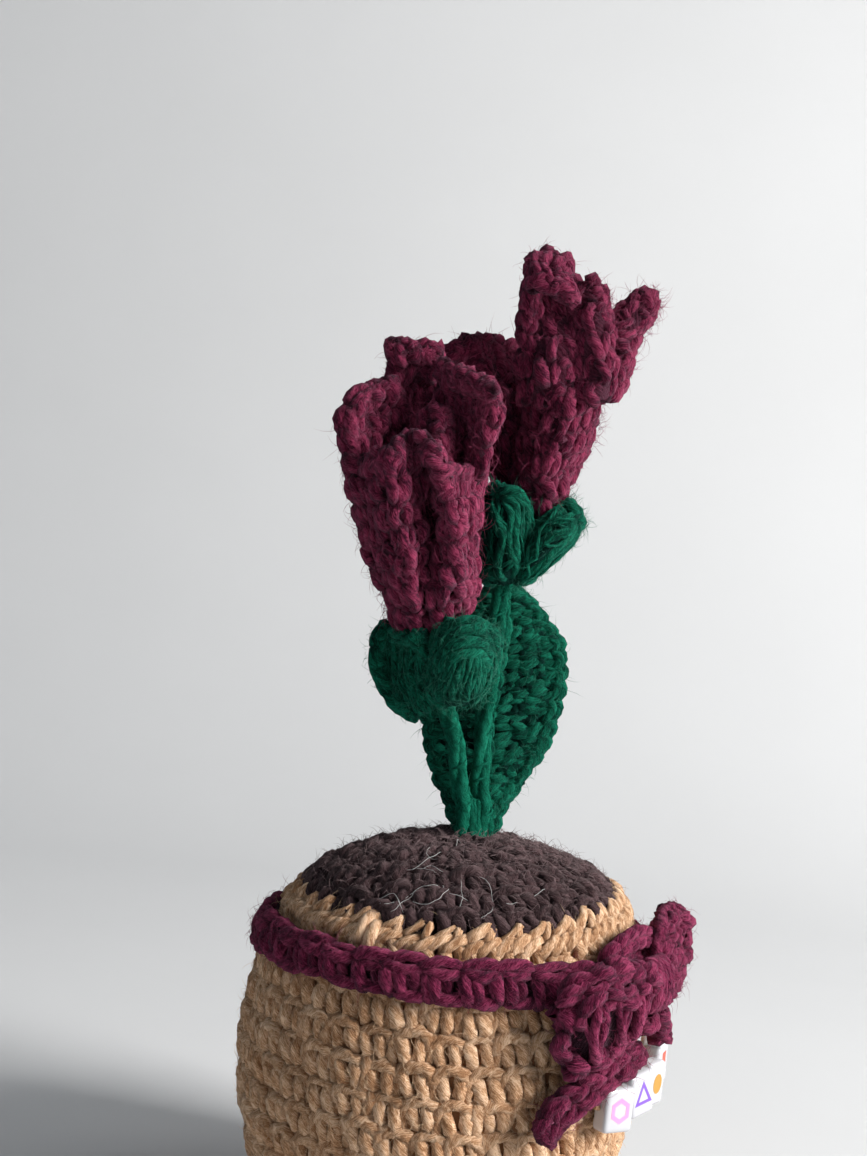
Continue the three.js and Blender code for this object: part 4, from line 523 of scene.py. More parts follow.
        # the same order for faces and corner data: quads and triangles as they were added
        quads = [f for f in self.f4]
        tris = [f for f in self.f3]
        qy = [y for y in self.yarn if y[0] == "q"]
        ty = [y for y in self.yarn if y[0] == "t"]
        q = np.concatenate(quads) if quads else np.zeros((0, 4), int)
        t = np.concatenate(tris) if tris else np.zeros((0, 3), int)
        loops = np.concatenate([q.ravel(), t.ravel()])
        totals = np.concatenate([np.full(len(q), 4), np.full(len(t), 3)])
        starts = np.concatenate([[0], np.cumsum(totals)[:-1]])
        yarn = np.concatenate([y[1] for y in qy] + [y[1] for y in ty])
        cell = np.concatenate([y[2] for y in qy] + [y[2] for y in ty])
        mesh = bpy.data.meshes.new(name)
        mesh.vertices.add(len(v))
        mesh.vertices.foreach_set("co", v.astype(np.float32).ravel())
        mesh.loops.add(len(loops))
        mesh.loops.foreach_set("vertex_index", loops.astype(np.int32))
        mesh.polygons.add(len(totals))
        mesh.polygons.foreach_set("loop_start", starts.astype(np.int32))
        mesh.polygons.foreach_set("use_smooth", np.full(len(totals), smooth))
        mesh.update(calc_edges=True)
        at = mesh.attributes.new("yarn", "FLOAT_VECTOR", "CORNER")
        at.data.foreach_set("vector", yarn.astype(np.float32).ravel())
        # painted shade: per-corner light level, 0 where a strand dives in or on a shaded core, read by the material
        painted_light_level = np.concatenate([y[3] for y in qy] + [y[3] for y in ty])
        dp = mesh.attributes.new("painted_light_level", "FLOAT", "CORNER")
        dp.data.foreach_set("value", painted_light_level.astype(np.float32))
        uv = mesh.uv_layers.new(name="OFBake")
        top = 0.22 if self.shells and self.cells else (1.0 if self.shells else 0.0)
        g = max(1, math.ceil(math.sqrt(max(1, self.cells))))
        ids = cell[:, 2]
        is_shell = ids < 0
        u = np.empty(len(ids))
        w = np.empty(len(ids))
        k = ids[~is_shell].astype(int)
        rows = max(1, math.ceil(max(1, self.cells) / g))
        u[~is_shell] = (k % g + cell[~is_shell, 0]) / g
        w[~is_shell] = (k // g + cell[~is_shell, 1]) / rows * (1 - top)
        if self.shells:
            n = (-ids[is_shell] - 1).astype(int)
            u[is_shell] = (n + cell[is_shell, 0]) / self.shells
            w[is_shell] = (1 - top) + cell[is_shell, 1] * top
        uv.data.foreach_set("uv", np.stack([u, w], axis=-1).astype(np.float32).ravel())
        mesh.materials.append(material)
        mesh.validate()
        obj = bpy.data.objects.new(name, mesh)
        bpy.context.scene.collection.objects.link(obj)
        return obj


def path(points, K):
    """Control points (M,k,3) to K even spline samples."""
    P = np.asarray(points, float)
    return spline(P.transpose(1, 0, 2), np.linspace(0, P.shape[1] - 1, K)).transpose(1, 0, 2)


def taper(R, K, ends=0.6):
    k = np.linspace(0, 1, K)
    return R * (ends + (1 - ends) * np.clip(np.sin(np.pi * np.clip(k, 0.02, 0.98)) * 2.4, 0, 1))


def lay(piece, surf, UVW, R, K=9, jitter=0.0, ends=0.6, vary=0.08, face=1, painted_dim=1.0, **kw):
    """Strands given by (u, v, w mm) control points on a surface; face is the side they show."""
    P = path(UVW, K)
    C, N = surf.at(P[..., 0], P[..., 1], P[..., 2])
    M = len(P)
    if jitter:
        k = np.linspace(0, 1, K)[None, :, None]
        C = C + rng.normal(0, jitter, (M, 1, 3)) * np.sin(np.pi * k) + rng.normal(0, jitter * 0.6, (M, 1, 3))
    rad = taper(R, K, ends)[None] * rng.normal(1, vary, (M, 1))
    out = P[..., 2] * face
    # painted shade: the colour darkens where the strand dips below its highest point, and more for a lower dimming
    # factor
    kw.setdefault("painted_light_level", np.clip(1.0 - (out.max(axis=1, keepdims=True) - out) / 0.8, 0, 1) * painted_dim)
    piece.strands(C, N, rad, **kw)


# ---------------------------------------------------------------- crochet stitches
def single_crochet(piece, surf, rows, counts, v0, v1, R, lift, lean=0.28, S=6, K=7, low=0.0, top=0.0, phase=0.0, jitter=0.09, loose=1.0, arch=True, knot=True, depth=1.2, bare_top=False):
    """Rows of stitches worked round a closed surface: two short fat legs, an arch over them and a knot beside it."""
    off = phase
    for j in range(rows):
        n = counts[j] if hasattr(counts, "__len__") else counts
        va = v0 + (v1 - v0) * j / rows
        dv = (v1 - v0) / rows
        i = np.arange(n)
        du = 1.0 / n
        ju, jv, jw = rng.normal(0, 0.045 * loose, n), rng.normal(0, 0.045 * loose, n), rng.normal(0, 0.10 * loose, n)
        size = rng.normal(1, 0.06 * loose, n)
        last = j == rows - 1

        def cell(points, slope=0.0, tip=None):
            P = np.array(points, float)[None] + np.zeros((n, 1, 1))
            sh = (rng.normal(0, 0.10 * loose, n)[:, None] + slope) * (P[..., 1] - 0.45)
            v = (P[..., 1] - 0.5) * size[:, None] + 0.5 + jv[:, None] + rng.normal(0, 0.025 * loose, (n, 1))
            P[..., 0] = (P[..., 0] + sh + ju[:, None] + i[:, None] + off + rng.normal(0, 0.02 * loose, (n, 1))) * du
            v = np.where(P[..., 1] < 0.3, v - (low if j == 0 else 0.0), v)
            if tip is not None and last:
                v = np.where(P[..., 1] > 0.6, v + tip[:, None], v)
            P[..., 1] = va + v * dv
            P[..., 2] = P[..., 2] + lift + (jw[:, None] + rng.normal(0, 0.05 * loose, (n, 1))) * (P[..., 2] > -0.5)
            return P

        ta, tb = top * rng.uniform(0.2, 1.6, n), top * rng.uniform(-0.2, 1.2, n)
        left = cell([(-0.11, -0.04, -depth), (-0.16, 0.14, -0.04), (-0.23, 0.40, 0.24), (-0.30, 0.66, 0.05), (-0.34, 0.84, -depth)], -0.05, ta)
        right = cell([(0.31, -0.06, -depth), (0.28, 0.14, -0.04), (0.23, 0.40, 0.24), (0.18, 0.66, 0.05), (0.15, 0.84, -depth)], -0.03, tb)
        lay(piece, surf, left, R, K=K, S=S, jitter=jitter, ends=0.66, vary=0.07)
        lay(piece, surf, right, R, K=K, S=S, jitter=jitter, ends=0.66, vary=0.07)
        plain = bare_top and last
        if arch and not plain:
            a = cell([(-0.55, 0.30, -depth), (-0.53, 0.58, -0.16), (-0.40, 0.84, 0.02), (-0.08, 0.99, 0.10), (0.24, 0.90, 0.04), (0.41, 0.68, -0.14), (0.45, 0.38, -depth)])
            # the arches are painted darker than the legs, as shade
            lay(piece, surf, a, R * 1.0, K=8, S=6, jitter=jitter * 1.3, ends=0.7, vary=0.12, painted_dim=0.62)
        if knot and not plain:
            b = cell([(0.46, -0.20, -0.95), (0.48, 0.12, -0.34), (0.50, 0.46, -0.22), (0.53, 0.80, -0.12), (0.58, 1.08, -0.85)])
            # the knots are painted darker still, as shade
            lay(piece, surf, b, R * 0.92, K=6, S=6, jitter=jitter * 1.6, ends=0.7, vary=0.14, painted_dim=0.55)
        off += -lean if hasattr(counts, "__len__") is False else rng.uniform(0.2, 0.8)


def v_fabric(piece, surf, pitch, row_h, R, faces=(1,), v0=0.0, v1=1.0, h=0.5, closed=False, K=7, S=6, edge=0.0, jitter=0.12, flat=0.92, loose=1.0, u_range=None, knots=True):
    """V stitches on one or both faces of a petal."""
    length = surf.length * (v1 - v0)
    rows = max(1, round(length / row_h))
    ua, ub = u_range if u_range else (edge, 1 - edge)
    for f in faces:
        for j in range(rows):
            va, dv = v0 + (v1 - v0) * j / rows, (v1 - v0) / rows
            width = surf.width_at(va + dv * 0.5) * (ub - ua)
            relief = 0.16 * loose * rng.uniform(-1, 1)
            n = max(1, math.ceil(width / pitch - 0.35))
            i = np.arange(n)
            du = (ub - ua) / n
            o = (0.5 if f < 0 else 0.0) + (0.35 * j if closed else 0.0) if closed else 0.0
            ju, jv, jw = rng.normal(0, 0.05 * loose, n), rng.normal(0, 0.07 * loose, n), rng.normal(0, 0.10 * loose, n)

            for x0, sg in ((0.30, -1), (0.70, 1)):
                turn = rng.normal(0, 0.17 * loose, n)[:, None]
                bow = rng.normal(-0.10 * sg, 0.10 * loose, n)
                P = np.zeros((n, 5, 3))
                for k, (t, w) in enumerate(((-0.60, -1.0), (-0.32, 0.0), (0.02, 0.20), (0.34, 0.02), (0.64, -1.0))):
                    P[:, k, 0] = x0 + sg * 0.10 * t + bow * (1 - 3 * t * t)
                    P[:, k, 1] = 0.48 + t
                    P[:, k, 2] = w
                P[..., 0] += turn * (P[..., 1] - 0.48)
                P[..., 1] += rng.normal(0, 0.06 * loose, (n, 1))
                P[..., 0] = ua + (P[..., 0] + rng.normal(0, 0.03 * loose, (n, 1)) + ju[:, None] + i[:, None] + o) * du
                P[..., 1] = va + (P[..., 1] + jv[:, None]) * dv
                if not closed:
                    P[..., 1] = np.clip(P[..., 1], 0.0, 1.0)
                    P[..., 0] = np.clip(P[..., 0], 0.02, 0.98)
                P[..., 2] = f * (P[..., 2] + h * (1.0 if closed else min(1.0, 0.45 + 2.2 * (va + 0.5 * dv))) + (relief + jw[:, None] + rng.normal(0, 0.14 * loose, (n, 1))) * (P[..., 2] > -0.4))
                lay(piece, surf, P, R, K=K, S=S, jitter=jitter, flat=flat, face=f, ends=0.62, vary=0.14)
            if knots:
                P = np.zeros((n, 4, 3))
                for k, (x, y, w) in enumerate(((0.82, 0.82, -0.9), (0.94, 1.0, 0.0), (1.10, 1.0, 0.0), (1.2, 0.80, -0.9))):
                    P[:, k, 0] = ua + (x + ju + i + o) * du
                    P[:, k, 1] = va + (y + jv) * dv
                    P[:, k, 2] = f * (w + h + jw)
                if not closed:
                    P[..., 1] = np.clip(P[..., 1], 0.0, 1.0)
                    P[..., 0] = np.clip(P[..., 0], 0.02, 0.98)
                # the knots are painted somewhat darker, as shade
                lay(piece, surf, P, R * 0.98, K=5, S=6, jitter=jitter, face=f, ends=0.65, vary=0.15, painted_dim=0.75)


def posts(piece, surf, pitch, R, faces=(1,), v0=0.02, v1=0.98, h=0.45, rows=1, K=14, S=7, edge=0.06, slant=0.0, jitter=0.1, wave=0.1, layers=1):
    """Long strands side by side along a sheet, as the posts of tall stitches."""
    for f in faces:
        for layer in range(layers):
            for j in range(rows):
                va, vb = v0 + (v1 - v0) * j / rows, v0 + (v1 - v0) * (j + 1) / rows
                width = surf.width_at((va + vb) / 2) * (1 - 2 * edge)
                n = max(2, round(width / pitch))
                i = np.arange(n)
                u = edge + (i + 0.5) / n * (1 - 2 * edge) + (0.5 / n * (1 - 2 * edge) if layer else 0.0) * rng.uniform(-1, 1, n)
                P = np.zeros((n, 6, 3))
                lo, hi = rng.uniform(-0.07, 0.04, n), rng.uniform(0.95, 1.08, n)
                for k, q in enumerate(np.linspace(0, 1, 6)):
                    P[:, k, 0] = np.clip(u + slant * (q - 0.5) / n + rng.normal(0, wave / n, n), 0.02, 0.98)
                    P[:, k, 1] = np.clip(va + (vb - va) * (lo + (hi - lo) * q), 0.0, 1.0)
                    P[:, k, 2] = f * (h + 0.25 * layer + (-0.9 if k in (0, 5) else 0.1 * np.sin(3 * q * math.pi + i)))
                lay(piece, surf, P, R, K=K, S=S, jitter=jitter, face=f)


def edge_chain(piece, surf, sides, pitch, R, out=0.25, h=0.5, K=7, S=6, jitter=0.1, double=True):
    """A lumpy braided edge along the rim of a sheet. sides: (u0, v0, u1, v1) straight runs in the sheet's own terms."""
    for (u0, v0, u1, v1) in sides:
        t = np.linspace(0, 1, 60)
        p, _ = surf.at(u0 + (u1 - u0) * t, v0 + (v1 - v0) * t, 0.0)
        L = np.linalg.norm(np.diff(p, axis=0), axis=1).sum()
        n = max(1, round(L / pitch))
        if abs(u1 - u0) > abs(v1 - v0):
            ou, ov = 0.0, (1 if v0 > 0.5 else -1) / surf.length
        else:
            ou, ov = (1 if u0 > 0.5 else -1), 0.0
        i = np.arange(n)
        shift, rise, swing = rng.normal(0, 0.05, n), rng.normal(0, 0.09, n), rng.normal(0, 0.16, n)

        def run(points, f):
            P = np.zeros((n, len(points), 3))
            for k, (q, o, w) in enumerate(points):
                tt = np.clip((i + q + shift) / n, -0.02, 1.02)
                v = v0 + (v1 - v0) * tt
                width = np.array([max(1.5, surf.width_at(min(1, max(0, a)))) for a in v])
                P[:, k, 0] = u0 + (u1 - u0) * tt + ou * (o + out + swing * (k in (1, 2))) / width
                P[:, k, 1] = v + ov * (o + out + swing * (k in (1, 2)))
                P[:, k, 2] = f * (w + rise * (k in (1, 2)))
            return P

        for f in (1, -1):
            lay(piece, surf, run([(-0.15, -1.1, 0.0), (0.12, -0.75, h), (0.5, -0.1, h * 0.95), (0.9, 0.12, 0.3), (1.10, -0.3, -0.2)], f), R, K=K, S=S, jitter=jitter, face=f, vary=0.1)
            if double:
                lay(piece, surf, run([(-0.1, 0.0, 0.05), (0.2, -0.6, h + 0.1), (0.55, -1.05, h + 0.08), (0.95, -1.25, h * 0.4)], f), R * 0.9, K=7, S=S, jitter=jitter, face=f, vary=0.1)


def hairs(piece, surf, count, w, v_range=(0.0, 1.0), length=(1.5, 3.5), radius=0.035, side=1, lie=0.5, curl=0.5, u_range=(0.0, 1.0)):
    """Thin curved stray fibres on a surface, each a closed three-sided thread. lie 1 keeps them along the surface."""
    u, v = rng.uniform(*u_range, count), rng.uniform(*v_range, count)
    p, N = surf.at(u, v, side * w)
    N = N * side
    L = rng.uniform(*length, count) * rng.uniform(0.5, 1, count)
    flat = unit(rng.normal(size=(count, 3)))
    flat = unit(flat - (flat * N).sum(1, keepdims=True) * N)
    up = rng.uniform(0.0, 1.0, (count, 1)) * (1 - lie)
    d = unit(flat * (0.35 + lie) + N * (up + 0.06))
    turn = unit(np.cross(N, d)) * rng.choice([-1, 1], (count, 1))
    K = 4
    t = np.linspace(0, 1, K)[None, :, None]
    bendy = rng.uniform(0.2, 1.0, (count, 1, 1)) * curl
    C = p[:, None] + (d[:, None] * t + turn[:, None] * t**2 * bendy + N[:, None] * (0.12 * np.sin(t * math.pi) - 0.18 * lie * t**2 * bendy)) * L[:, None, None]
    R = np.array([0.9, 1.1, 0.8, 0.0])[None] * radius * rng.uniform(0.7, 1.25, (count, 1))
    piece.whiskers(C, np.repeat(N[:, None], K, 1), R)


# ---------------------------------------------------------------- materials
def yarn_material(name, base, light, dark, rough=0.95, sheen=0.2, bump=0.6, tint=None, contrast=1.0, painted_shade_gain=0.35, full=0.8):
    """Wool: streaks that run along the strand with its twist, blotches between strands, painted shade where a strand
    dives in, on the cores and in the grooves between plies.
    """
    m = bpy.data.materials.new(name)
    m.use_nodes = True
    nt = m.node_tree
    nt.nodes.clear()
    out = nt.nodes.new("ShaderNodeOutputMaterial")
    bsdf = nt.nodes.new("ShaderNodeBsdfPrincipled")
    nt.links.new(bsdf.outputs[0], out.inputs[0])
    at = nt.nodes.new("ShaderNodeAttribute")
    at.attribute_name = "yarn"
    painted_light_level = nt.nodes.new("ShaderNodeAttribute")
    painted_light_level.attribute_name = "painted_light_level"
    sep = nt.nodes.new("ShaderNodeSeparateXYZ")
    nt.links.new(at.outputs["Vector"], sep.inputs[0])

    def maths(op, a, b=None, c=None):
        n = nt.nodes.new("ShaderNodeMath")
        n.operation = op
        for k, x in enumerate((a, b, c)):
            if x is None:
                continue
            if isinstance(x, (int, float)):
                n.inputs[k].default_value = x
            else:
                nt.links.new(x, n.inputs[k])
        return n.outputs[0]

    def noise(vector, scale, detail, rough_=0.55, warp=0.0):
        n = nt.nodes.new("ShaderNodeTexNoise")
        n.inputs["Distortion"].default_value = warp
        n.inputs["Scale"].default_value = scale
        n.inputs["Detail"].default_value = detail
        n.inputs["Roughness"].default_value = rough_
        nt.links.new(vector, n.inputs["Vector"])
        return n.outputs["Fac"]

    co = nt.nodes.new("ShaderNodeTexCoord")
    turns = maths("MULTIPLY_ADD", sep.outputs[0], 0.20, sep.outputs[1])
    angle = maths("MULTIPLY", turns, 6.2832)
    plies = maths("MULTIPLY_ADD", maths("COSINE", maths("MULTIPLY", turns, 18.85)), 0.5, 0.5)
    ca, sa = maths("COSINE", angle), maths("SINE", angle)

    def streak(round_k, along_k, seed, detail, warp=0.0):
        comb = nt.nodes.new("ShaderNodeCombineXYZ")
        nt.links.new(maths("MULTIPLY", ca, round_k), comb.inputs[0])
        nt.links.new(maths("MULTIPLY", sa, round_k), comb.inputs[1])
        nt.links.new(maths("MULTIPLY_ADD", sep.outputs[2], seed, maths("MULTIPLY", sep.outputs[0], along_k)), comb.inputs[2])
        return noise(comb.outputs[0], 1.0, detail, 0.6, warp)

    ply = streak(1.4, 0.5, 31.0, 2.0)
    hair = streak(6.5, 1.7, 57.0, 3.0, 0.5)
    big = noise(co.outputs["Object"], 160.0, 3.0)
    fine = noise(co.outputs["Object"], 4200.0, 3.0, 0.7, 0.8)
    tone = maths("MULTIPLY_ADD", maths("SUBTRACT", ply, 0.5), 0.45 * contrast, 0.5)
    # painted shade in the grooves between the plies
    tone = maths("MULTIPLY_ADD", maths("SUBTRACT", plies, 0.5), 0.13 * contrast, tone)
    tone = maths("MULTIPLY_ADD", maths("SUBTRACT", hair, 0.5), 1.25 * contrast, tone)
    tone = maths("MULTIPLY_ADD", maths("SUBTRACT", big, 0.5), 0.5, tone)
    tone = maths("MULTIPLY_ADD", maths("SUBTRACT", fine, 0.5), 0.6, tone)
    tone = maths("MULTIPLY_ADD", maths("SUBTRACT", sep.outputs[2], 0.5), 0.16, tone)
    ramp = nt.nodes.new("ShaderNodeValToRGB")
    e = ramp.color_ramp.elements
    e[0].position, e[0].color = 0.24, (*dark, 1)
    e[1].position, e[1].color = 0.78, (*light, 1)
    mid = ramp.color_ramp.elements.new(0.48)
    mid.color = (*base, 1)
    nt.links.new(tone, ramp.inputs[0])
    # painted shade: the colour falls to a darkened copy of the dark tone where the corner's painted light level is low,
    # where strands dive in and on the cores
    mix = nt.nodes.new("ShaderNodeMix")
    mix.data_type = "RGBA"
    mix.inputs["A"].default_value = (*[c * painted_shade_gain for c in dark], 1)
    nt.links.new(ramp.outputs[0], mix.inputs["B"])
    lit = nt.nodes.new("ShaderNodeMapRange")
    lit.interpolation_type = "SMOOTHSTEP"
    lit.inputs["From Min"].default_value = -0.15
    lit.inputs["From Max"].default_value = full
    nt.links.new(painted_light_level.outputs["Fac"], lit.inputs["Value"])
    nt.links.new(lit.outputs["Result"], mix.inputs["Factor"])
    nt.links.new(mix.outputs["Result"], bsdf.inputs["Base Color"])
    bsdf.inputs["Roughness"].default_value = rough
    bsdf.inputs["Sheen Weight"].default_value = sheen
    bsdf.inputs["Sheen Roughness"].default_value = 0.45
    bsdf.inputs["Sheen Tint"].default_value = (*(tint or light), 1)
    bsdf.inputs["Specular IOR Level"].default_value = 0.04
    bsdf.inputs["Diffuse Roughness"].default_value = 1.0
    b = nt.nodes.new("ShaderNodeBump")
    b.inputs["Strength"].default_value = bump
    b.inputs["Distance"].default_value = 0.00028
    height = maths("MULTIPLY_ADD", hair, 0.9, maths("MULTIPLY", plies, 0.30))
    height = maths("MULTIPLY_ADD", fine, 0.6, height)
    nt.links.new(height, b.inputs["Height"])
    nt.links.new(b.outputs[0], bsdf.inputs["Normal"])
    return m


def plain_material(name, color, rough, metal=0.0, noise=0.06, scale=300.0, coat=0.0, bump=0.05):
    m = bpy.data.materials.new(name)
    m.use_nodes = True
    nt = m.node_tree
    bsdf = nt.nodes["Principled BSDF"]
    co = nt.nodes.new("ShaderNodeTexCoord")
    tex = nt.nodes.new("ShaderNodeTexNoise")
    tex.inputs["Scale"].default_value = scale
    tex.inputs["Detail"].default_value = 4.0
    nt.links.new(co.outputs["Object"], tex.inputs["Vector"])
    ramp = nt.nodes.new("ShaderNodeValToRGB")
    e = ramp.color_ramp.elements
    e[0].position, e[0].color = 0.25, (*[max(0, c * (1 - noise)) for c in color], 1)
    e[1].position, e[1].color = 0.75, (*[min(1, c * (1 + noise)) for c in color], 1)
    nt.links.new(tex.outputs["Fac"], ramp.inputs[0])
    nt.links.new(ramp.outputs[0], bsdf.inputs["Base Color"])
    bsdf.inputs["Roughness"].default_value = rough
    bsdf.inputs["Metallic"].default_value = metal
    bsdf.inputs["Coat Weight"].default_value = coat
    b = nt.nodes.new("ShaderNodeBump")
    b.inputs["Strength"].default_value = bump
    b.inputs["Distance"].default_value = 0.0002
    nt.links.new(tex.outputs["Fac"], b.inputs["Height"])
    nt.links.new(b.outputs[0], bsdf.inputs["Normal"])
    return m


TAN = yarn_material("tan_yarn", (0.575, 0.330, 0.176), (0.88, 0.655, 0.455), (0.295, 0.137, 0.062), sheen=0.28, contrast=1.2, painted_shade_gain=0.85, bump=0.9, tint=(0.9, 0.78, 0.62))
BROWN = yarn_material("brown_yarn", (0.038, 0.0215, 0.0230), (0.104, 0.063, 0.066), (0.012, 0.0068, 0.0074), sheen=0.31, tint=(0.46, 0.36, 0.36), contrast=1.2, painted_shade_gain=0.9, full=0.6, bump=0.9)
PETAL = yarn_material("burgundy_petal_yarn", (0.112, 0.0086, 0.031), (0.300, 0.041, 0.096), (0.024, 0.0024, 0.010), sheen=0.30, tint=(0.60, 0.30, 0.42), contrast=1.35, painted_shade_gain=0.28, full=1.02, bump=1.0)
TRIM = yarn_material("burgundy_trim_yarn", (0.118, 0.0092, 0.036), (0.30, 0.042, 0.104), (0.027, 0.0026, 0.011), sheen=0.27, tint=(0.60, 0.30, 0.42), contrast=1.35, painted_shade_gain=0.28, full=1.0, bump=1.0)
GREEN = yarn_material("green_leaf_yarn", (0.0022, 0.060, 0.034), (0.008, 0.155, 0.094), (0.0010, 0.014, 0.011), sheen=0.16, tint=(0.10, 0.55, 0.42), contrast=1.2, painted_shade_gain=0.8, full=0.85, bump=0.8)
WRAP = yarn_material("green_wrap_yarn", (0.0028, 0.080, 0.046), (0.010, 0.175, 0.108), (0.0012, 0.024, 0.017), sheen=0.10, tint=(0.05, 0.6, 0.42), contrast=0.8, bump=0.9)
FUZZ = {
    "tan": plain_material("tan_fibre", (0.62, 0.44, 0.28), 0.9),
    "brown": plain_material("brown_fibre", (0.17, 0.115, 0.118), 0.9),
    "pale": plain_material("pale_fibre", (0.52, 0.53, 0.52), 0.8),
    "burgundy": plain_material("burgundy_fibre", (0.19, 0.020, 0.060), 0.9),
    "green": plain_material("green_fibre", (0.005, 0.12, 0.072), 0.9),
}
BEAD = plain_material("bead_plastic", (0.45, 0.45, 0.475), 0.22, noise=0.01, scale=60, coat=0.3, bump=0.02)
INK = {
    "pink": plain_material("bead_pink", (0.80, 0.24, 0.46), 0.35),
    "violet": plain_material("bead_violet", (0.17, 0.07, 0.46), 0.35),
    "amber": plain_material("bead_amber", (0.38, 0.19, 0.015), 0.35),
    "orange": plain_material("bead_orange", (0.55, 0.05, 0.015), 0.35),
    "blue": plain_material("bead_blue", (0.06, 0.20, 0.55), 0.35),
}
THREAD = plain_material("thread", (0.40, 0.235, 0.125), 0.8)
WIRE = plain_material("craft_wire", (0.62, 0.62, 0.62), 0.35, metal=1.0)
CARD = plain_material("canvas_disc", (0.42, 0.30, 0.18), 0.8)
FILL = plain_material("fibre_fill", (0.86, 0.85, 0.82), 0.95, noise=0.1)

# ---------------------------------------------------------------- CAD pieces that stay inside
for node, mat in (("stuffing", FILL), ("base_stiffener", CARD), ("stem_left_wire", WIRE), ("stem_right_wire", WIRE), ("bead_thread", THREAD)):
    o = bpy.data.objects[node]
    o.data.materials.clear()
    o.data.materials.append(mat)

made = []


def finish_piece(piece, name, material, slot_name, *nodes):
    obj = piece.build(name, material)
    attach(obj, "root")
    if nodes:
        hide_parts(*nodes)
    made.append(obj)
    return obj


# ---------------------------------------------------------------- pot
body = Lathe(POT_PROFILE[1:] + SOIL_PROFILE[1:])
pot_length = Lathe(POT_PROFILE[1:]).length
RIM = pot_length / body.length      # where the tan ends and the brown begins


def rim_edge(u):
    """The colour change is low in front and high on the bow's side."""
    a = np.asarray(u, float) * 2 * math.pi
    return RIM + (-0.9 * np.maximum(0, np.cos(a)) ** 1.5 + 2.4 * np.maximum(0, np.sin(a)) ** 1.5) / body.length


pot = Part(body, lambda u: np.zeros_like(np.asarray(u, float)), rim_edge)
soil = Part(body, rim_edge, lambda u: np.ones_like(np.asarray(u, float)) * 0.985)
base = Lathe([[0.01, 0], [6, 0], [12, 0], [18.6, 0], [21.4, 0.9], [23.2, 2.5]])
N_AROUND = 37
ROWS = 11
p = Piece()
p.hoop(pot, -0.80, -1.9, v0=0.0, v1=1.0, nu=72, nv=30)
single_crochet(p, pot, ROWS, N_AROUND, 0.0, 1.0, 1.07, lift=-0.70, low=0.15, top=0.0, loose=0.95, jitter=0.09, bare_top=True)
# the slanted strands of the row where the colour changes
m = 74
i = np.arange(m)
P = np.zeros((m, 5, 3))
lift_, lean_ = rng.normal(0, 0.16, m), rng.normal(0, 0.10, m)
for k, (x, v, w) in enumerate(((-0.30, -3.3, -0.9), (0.0, -2.6, 0.0), (0.45, -1.75, 0.22), (0.95, -1.05, 0.05), (1.35, -0.6, -0.9))):
    P[:, k, 0] = (i + x + lean_) / m
    P[:, k, 1] = 1.0 + (v + lift_) / pot_length
    P[:, k, 2] = w
lay(p, pot, P, 0.86, K=7, S=6, jitter=0.10, ends=0.6, vary=0.10)
# pointed tan teeth that stand up into the brown, one to a stitch, upright on their right side
m = 37
i = np.arange(m)
rise = rng.uniform(0.75, 1.25, m)
for pts, R in ((((0.00, -0.9, -0.5), (0.22, -0.3, 0.05), (0.46, 0.35, 0.30), (0.66, 1.15, 0.25), (0.78, 1.75, -0.15)), 0.74),
               (((0.70, -1.3, -0.6), (0.76, -0.6, 0.10), (0.80, 0.1, 0.28), (0.82, 0.8, 0.20), (0.80, 1.5, -0.2)), 0.66)):
    P = np.zeros((m, 5, 3))
    wob = rng.normal(0, 0.05, m)
    for k, (x, v, w) in enumerate(pts):
        P[:, k, 0] = (i + x + wob) / m
        P[:, k, 1] = 1.0 + (v * np.where(v > 0, rise, 1.0)) / pot_length
        P[:, k, 2] = w
    lay(p, pot, P, R, K=7, S=6, jitter=0.10, ends=0.36, vary=0.15)
# the knot of tan yarn where the colour changes
kp = np.array([[(-0.093, 0.925, -0.7), (-0.090, 0.955, 0.55), (-0.088, 0.995, 0.75), (-0.086, 1.035, -0.3)],
               [(-0.081, 0.915, -0.7), (-0.079, 0.945, 0.40), (-0.078, 0.980, 0.55), (-0.080, 1.010, -0.4)]])
lay(p, pot, kp, 1.0, K=9, shade=1.3)
pot_obj = finish_piece(p, "crochet_pot_wall", TAN, "tan_yarn", "pot_cup")

p = Piece()
rings = []
for r, z in ((22.4, 3.2), (21.4, 2.2), (18.5, 1.15), (10.0, 0.95), (3.0, 0.95)):
    a = np.arange(48) / 48 * 2 * math.pi
    rings.append(np.stack([r * np.sin(a), -r * np.cos(a), np.full(48, z)], axis=-1))
for r, z in ((3.0, 2.2), (18.5, 2.3), (22.0, 4.4)):
    a = np.arange(48) / 48 * 2 * math.pi
    rings.append(np.stack([r * np.sin(a), -r * np.cos(a), np.full(48, z)], axis=-1))
p.shell(np.array(rings[::-1]))
single_crochet(p, base, 6, [6, 12, 18, 24, 30, 36], 0.0, 1.0, 1.0, lift=-0.9, K=6, S=6, knot=False, arch=False)
for a in p.v:
    a[:, 2] = np.maximum(a[:, 2], 0.02)
finish_piece(p, "crochet_pot_base", TAN, "tan_yarn", "pot_cup")

# ---------------------------------------------------------------- soil
p = Piece()
p.hoop(soil, -1.05, -2.0, v0=0.02, v1=0.985, nu=60, nv=14)
single_crochet(p, soil, 7, [36, 33, 29, 23, 17, 12, 6], 0.0, 0.985, 1.06, lift=-0.68, low=-0.10, jitter=0.15, loose=1.4)
soil_obj = finish_piece(p, "crochet_soil", BROWN, "brown_yarn", "soil_dome")

# ---------------------------------------------------------------- band
band = Lathe([[30.15, 42.5], [30.05, 45.1], [29.0, 47.9]])
p = Piece()
p.hoop(band, -0.9, -1.9, v0=0.02, v1=0.98, nu=72, nv=3)
nb = 36
i = np.arange(nb)


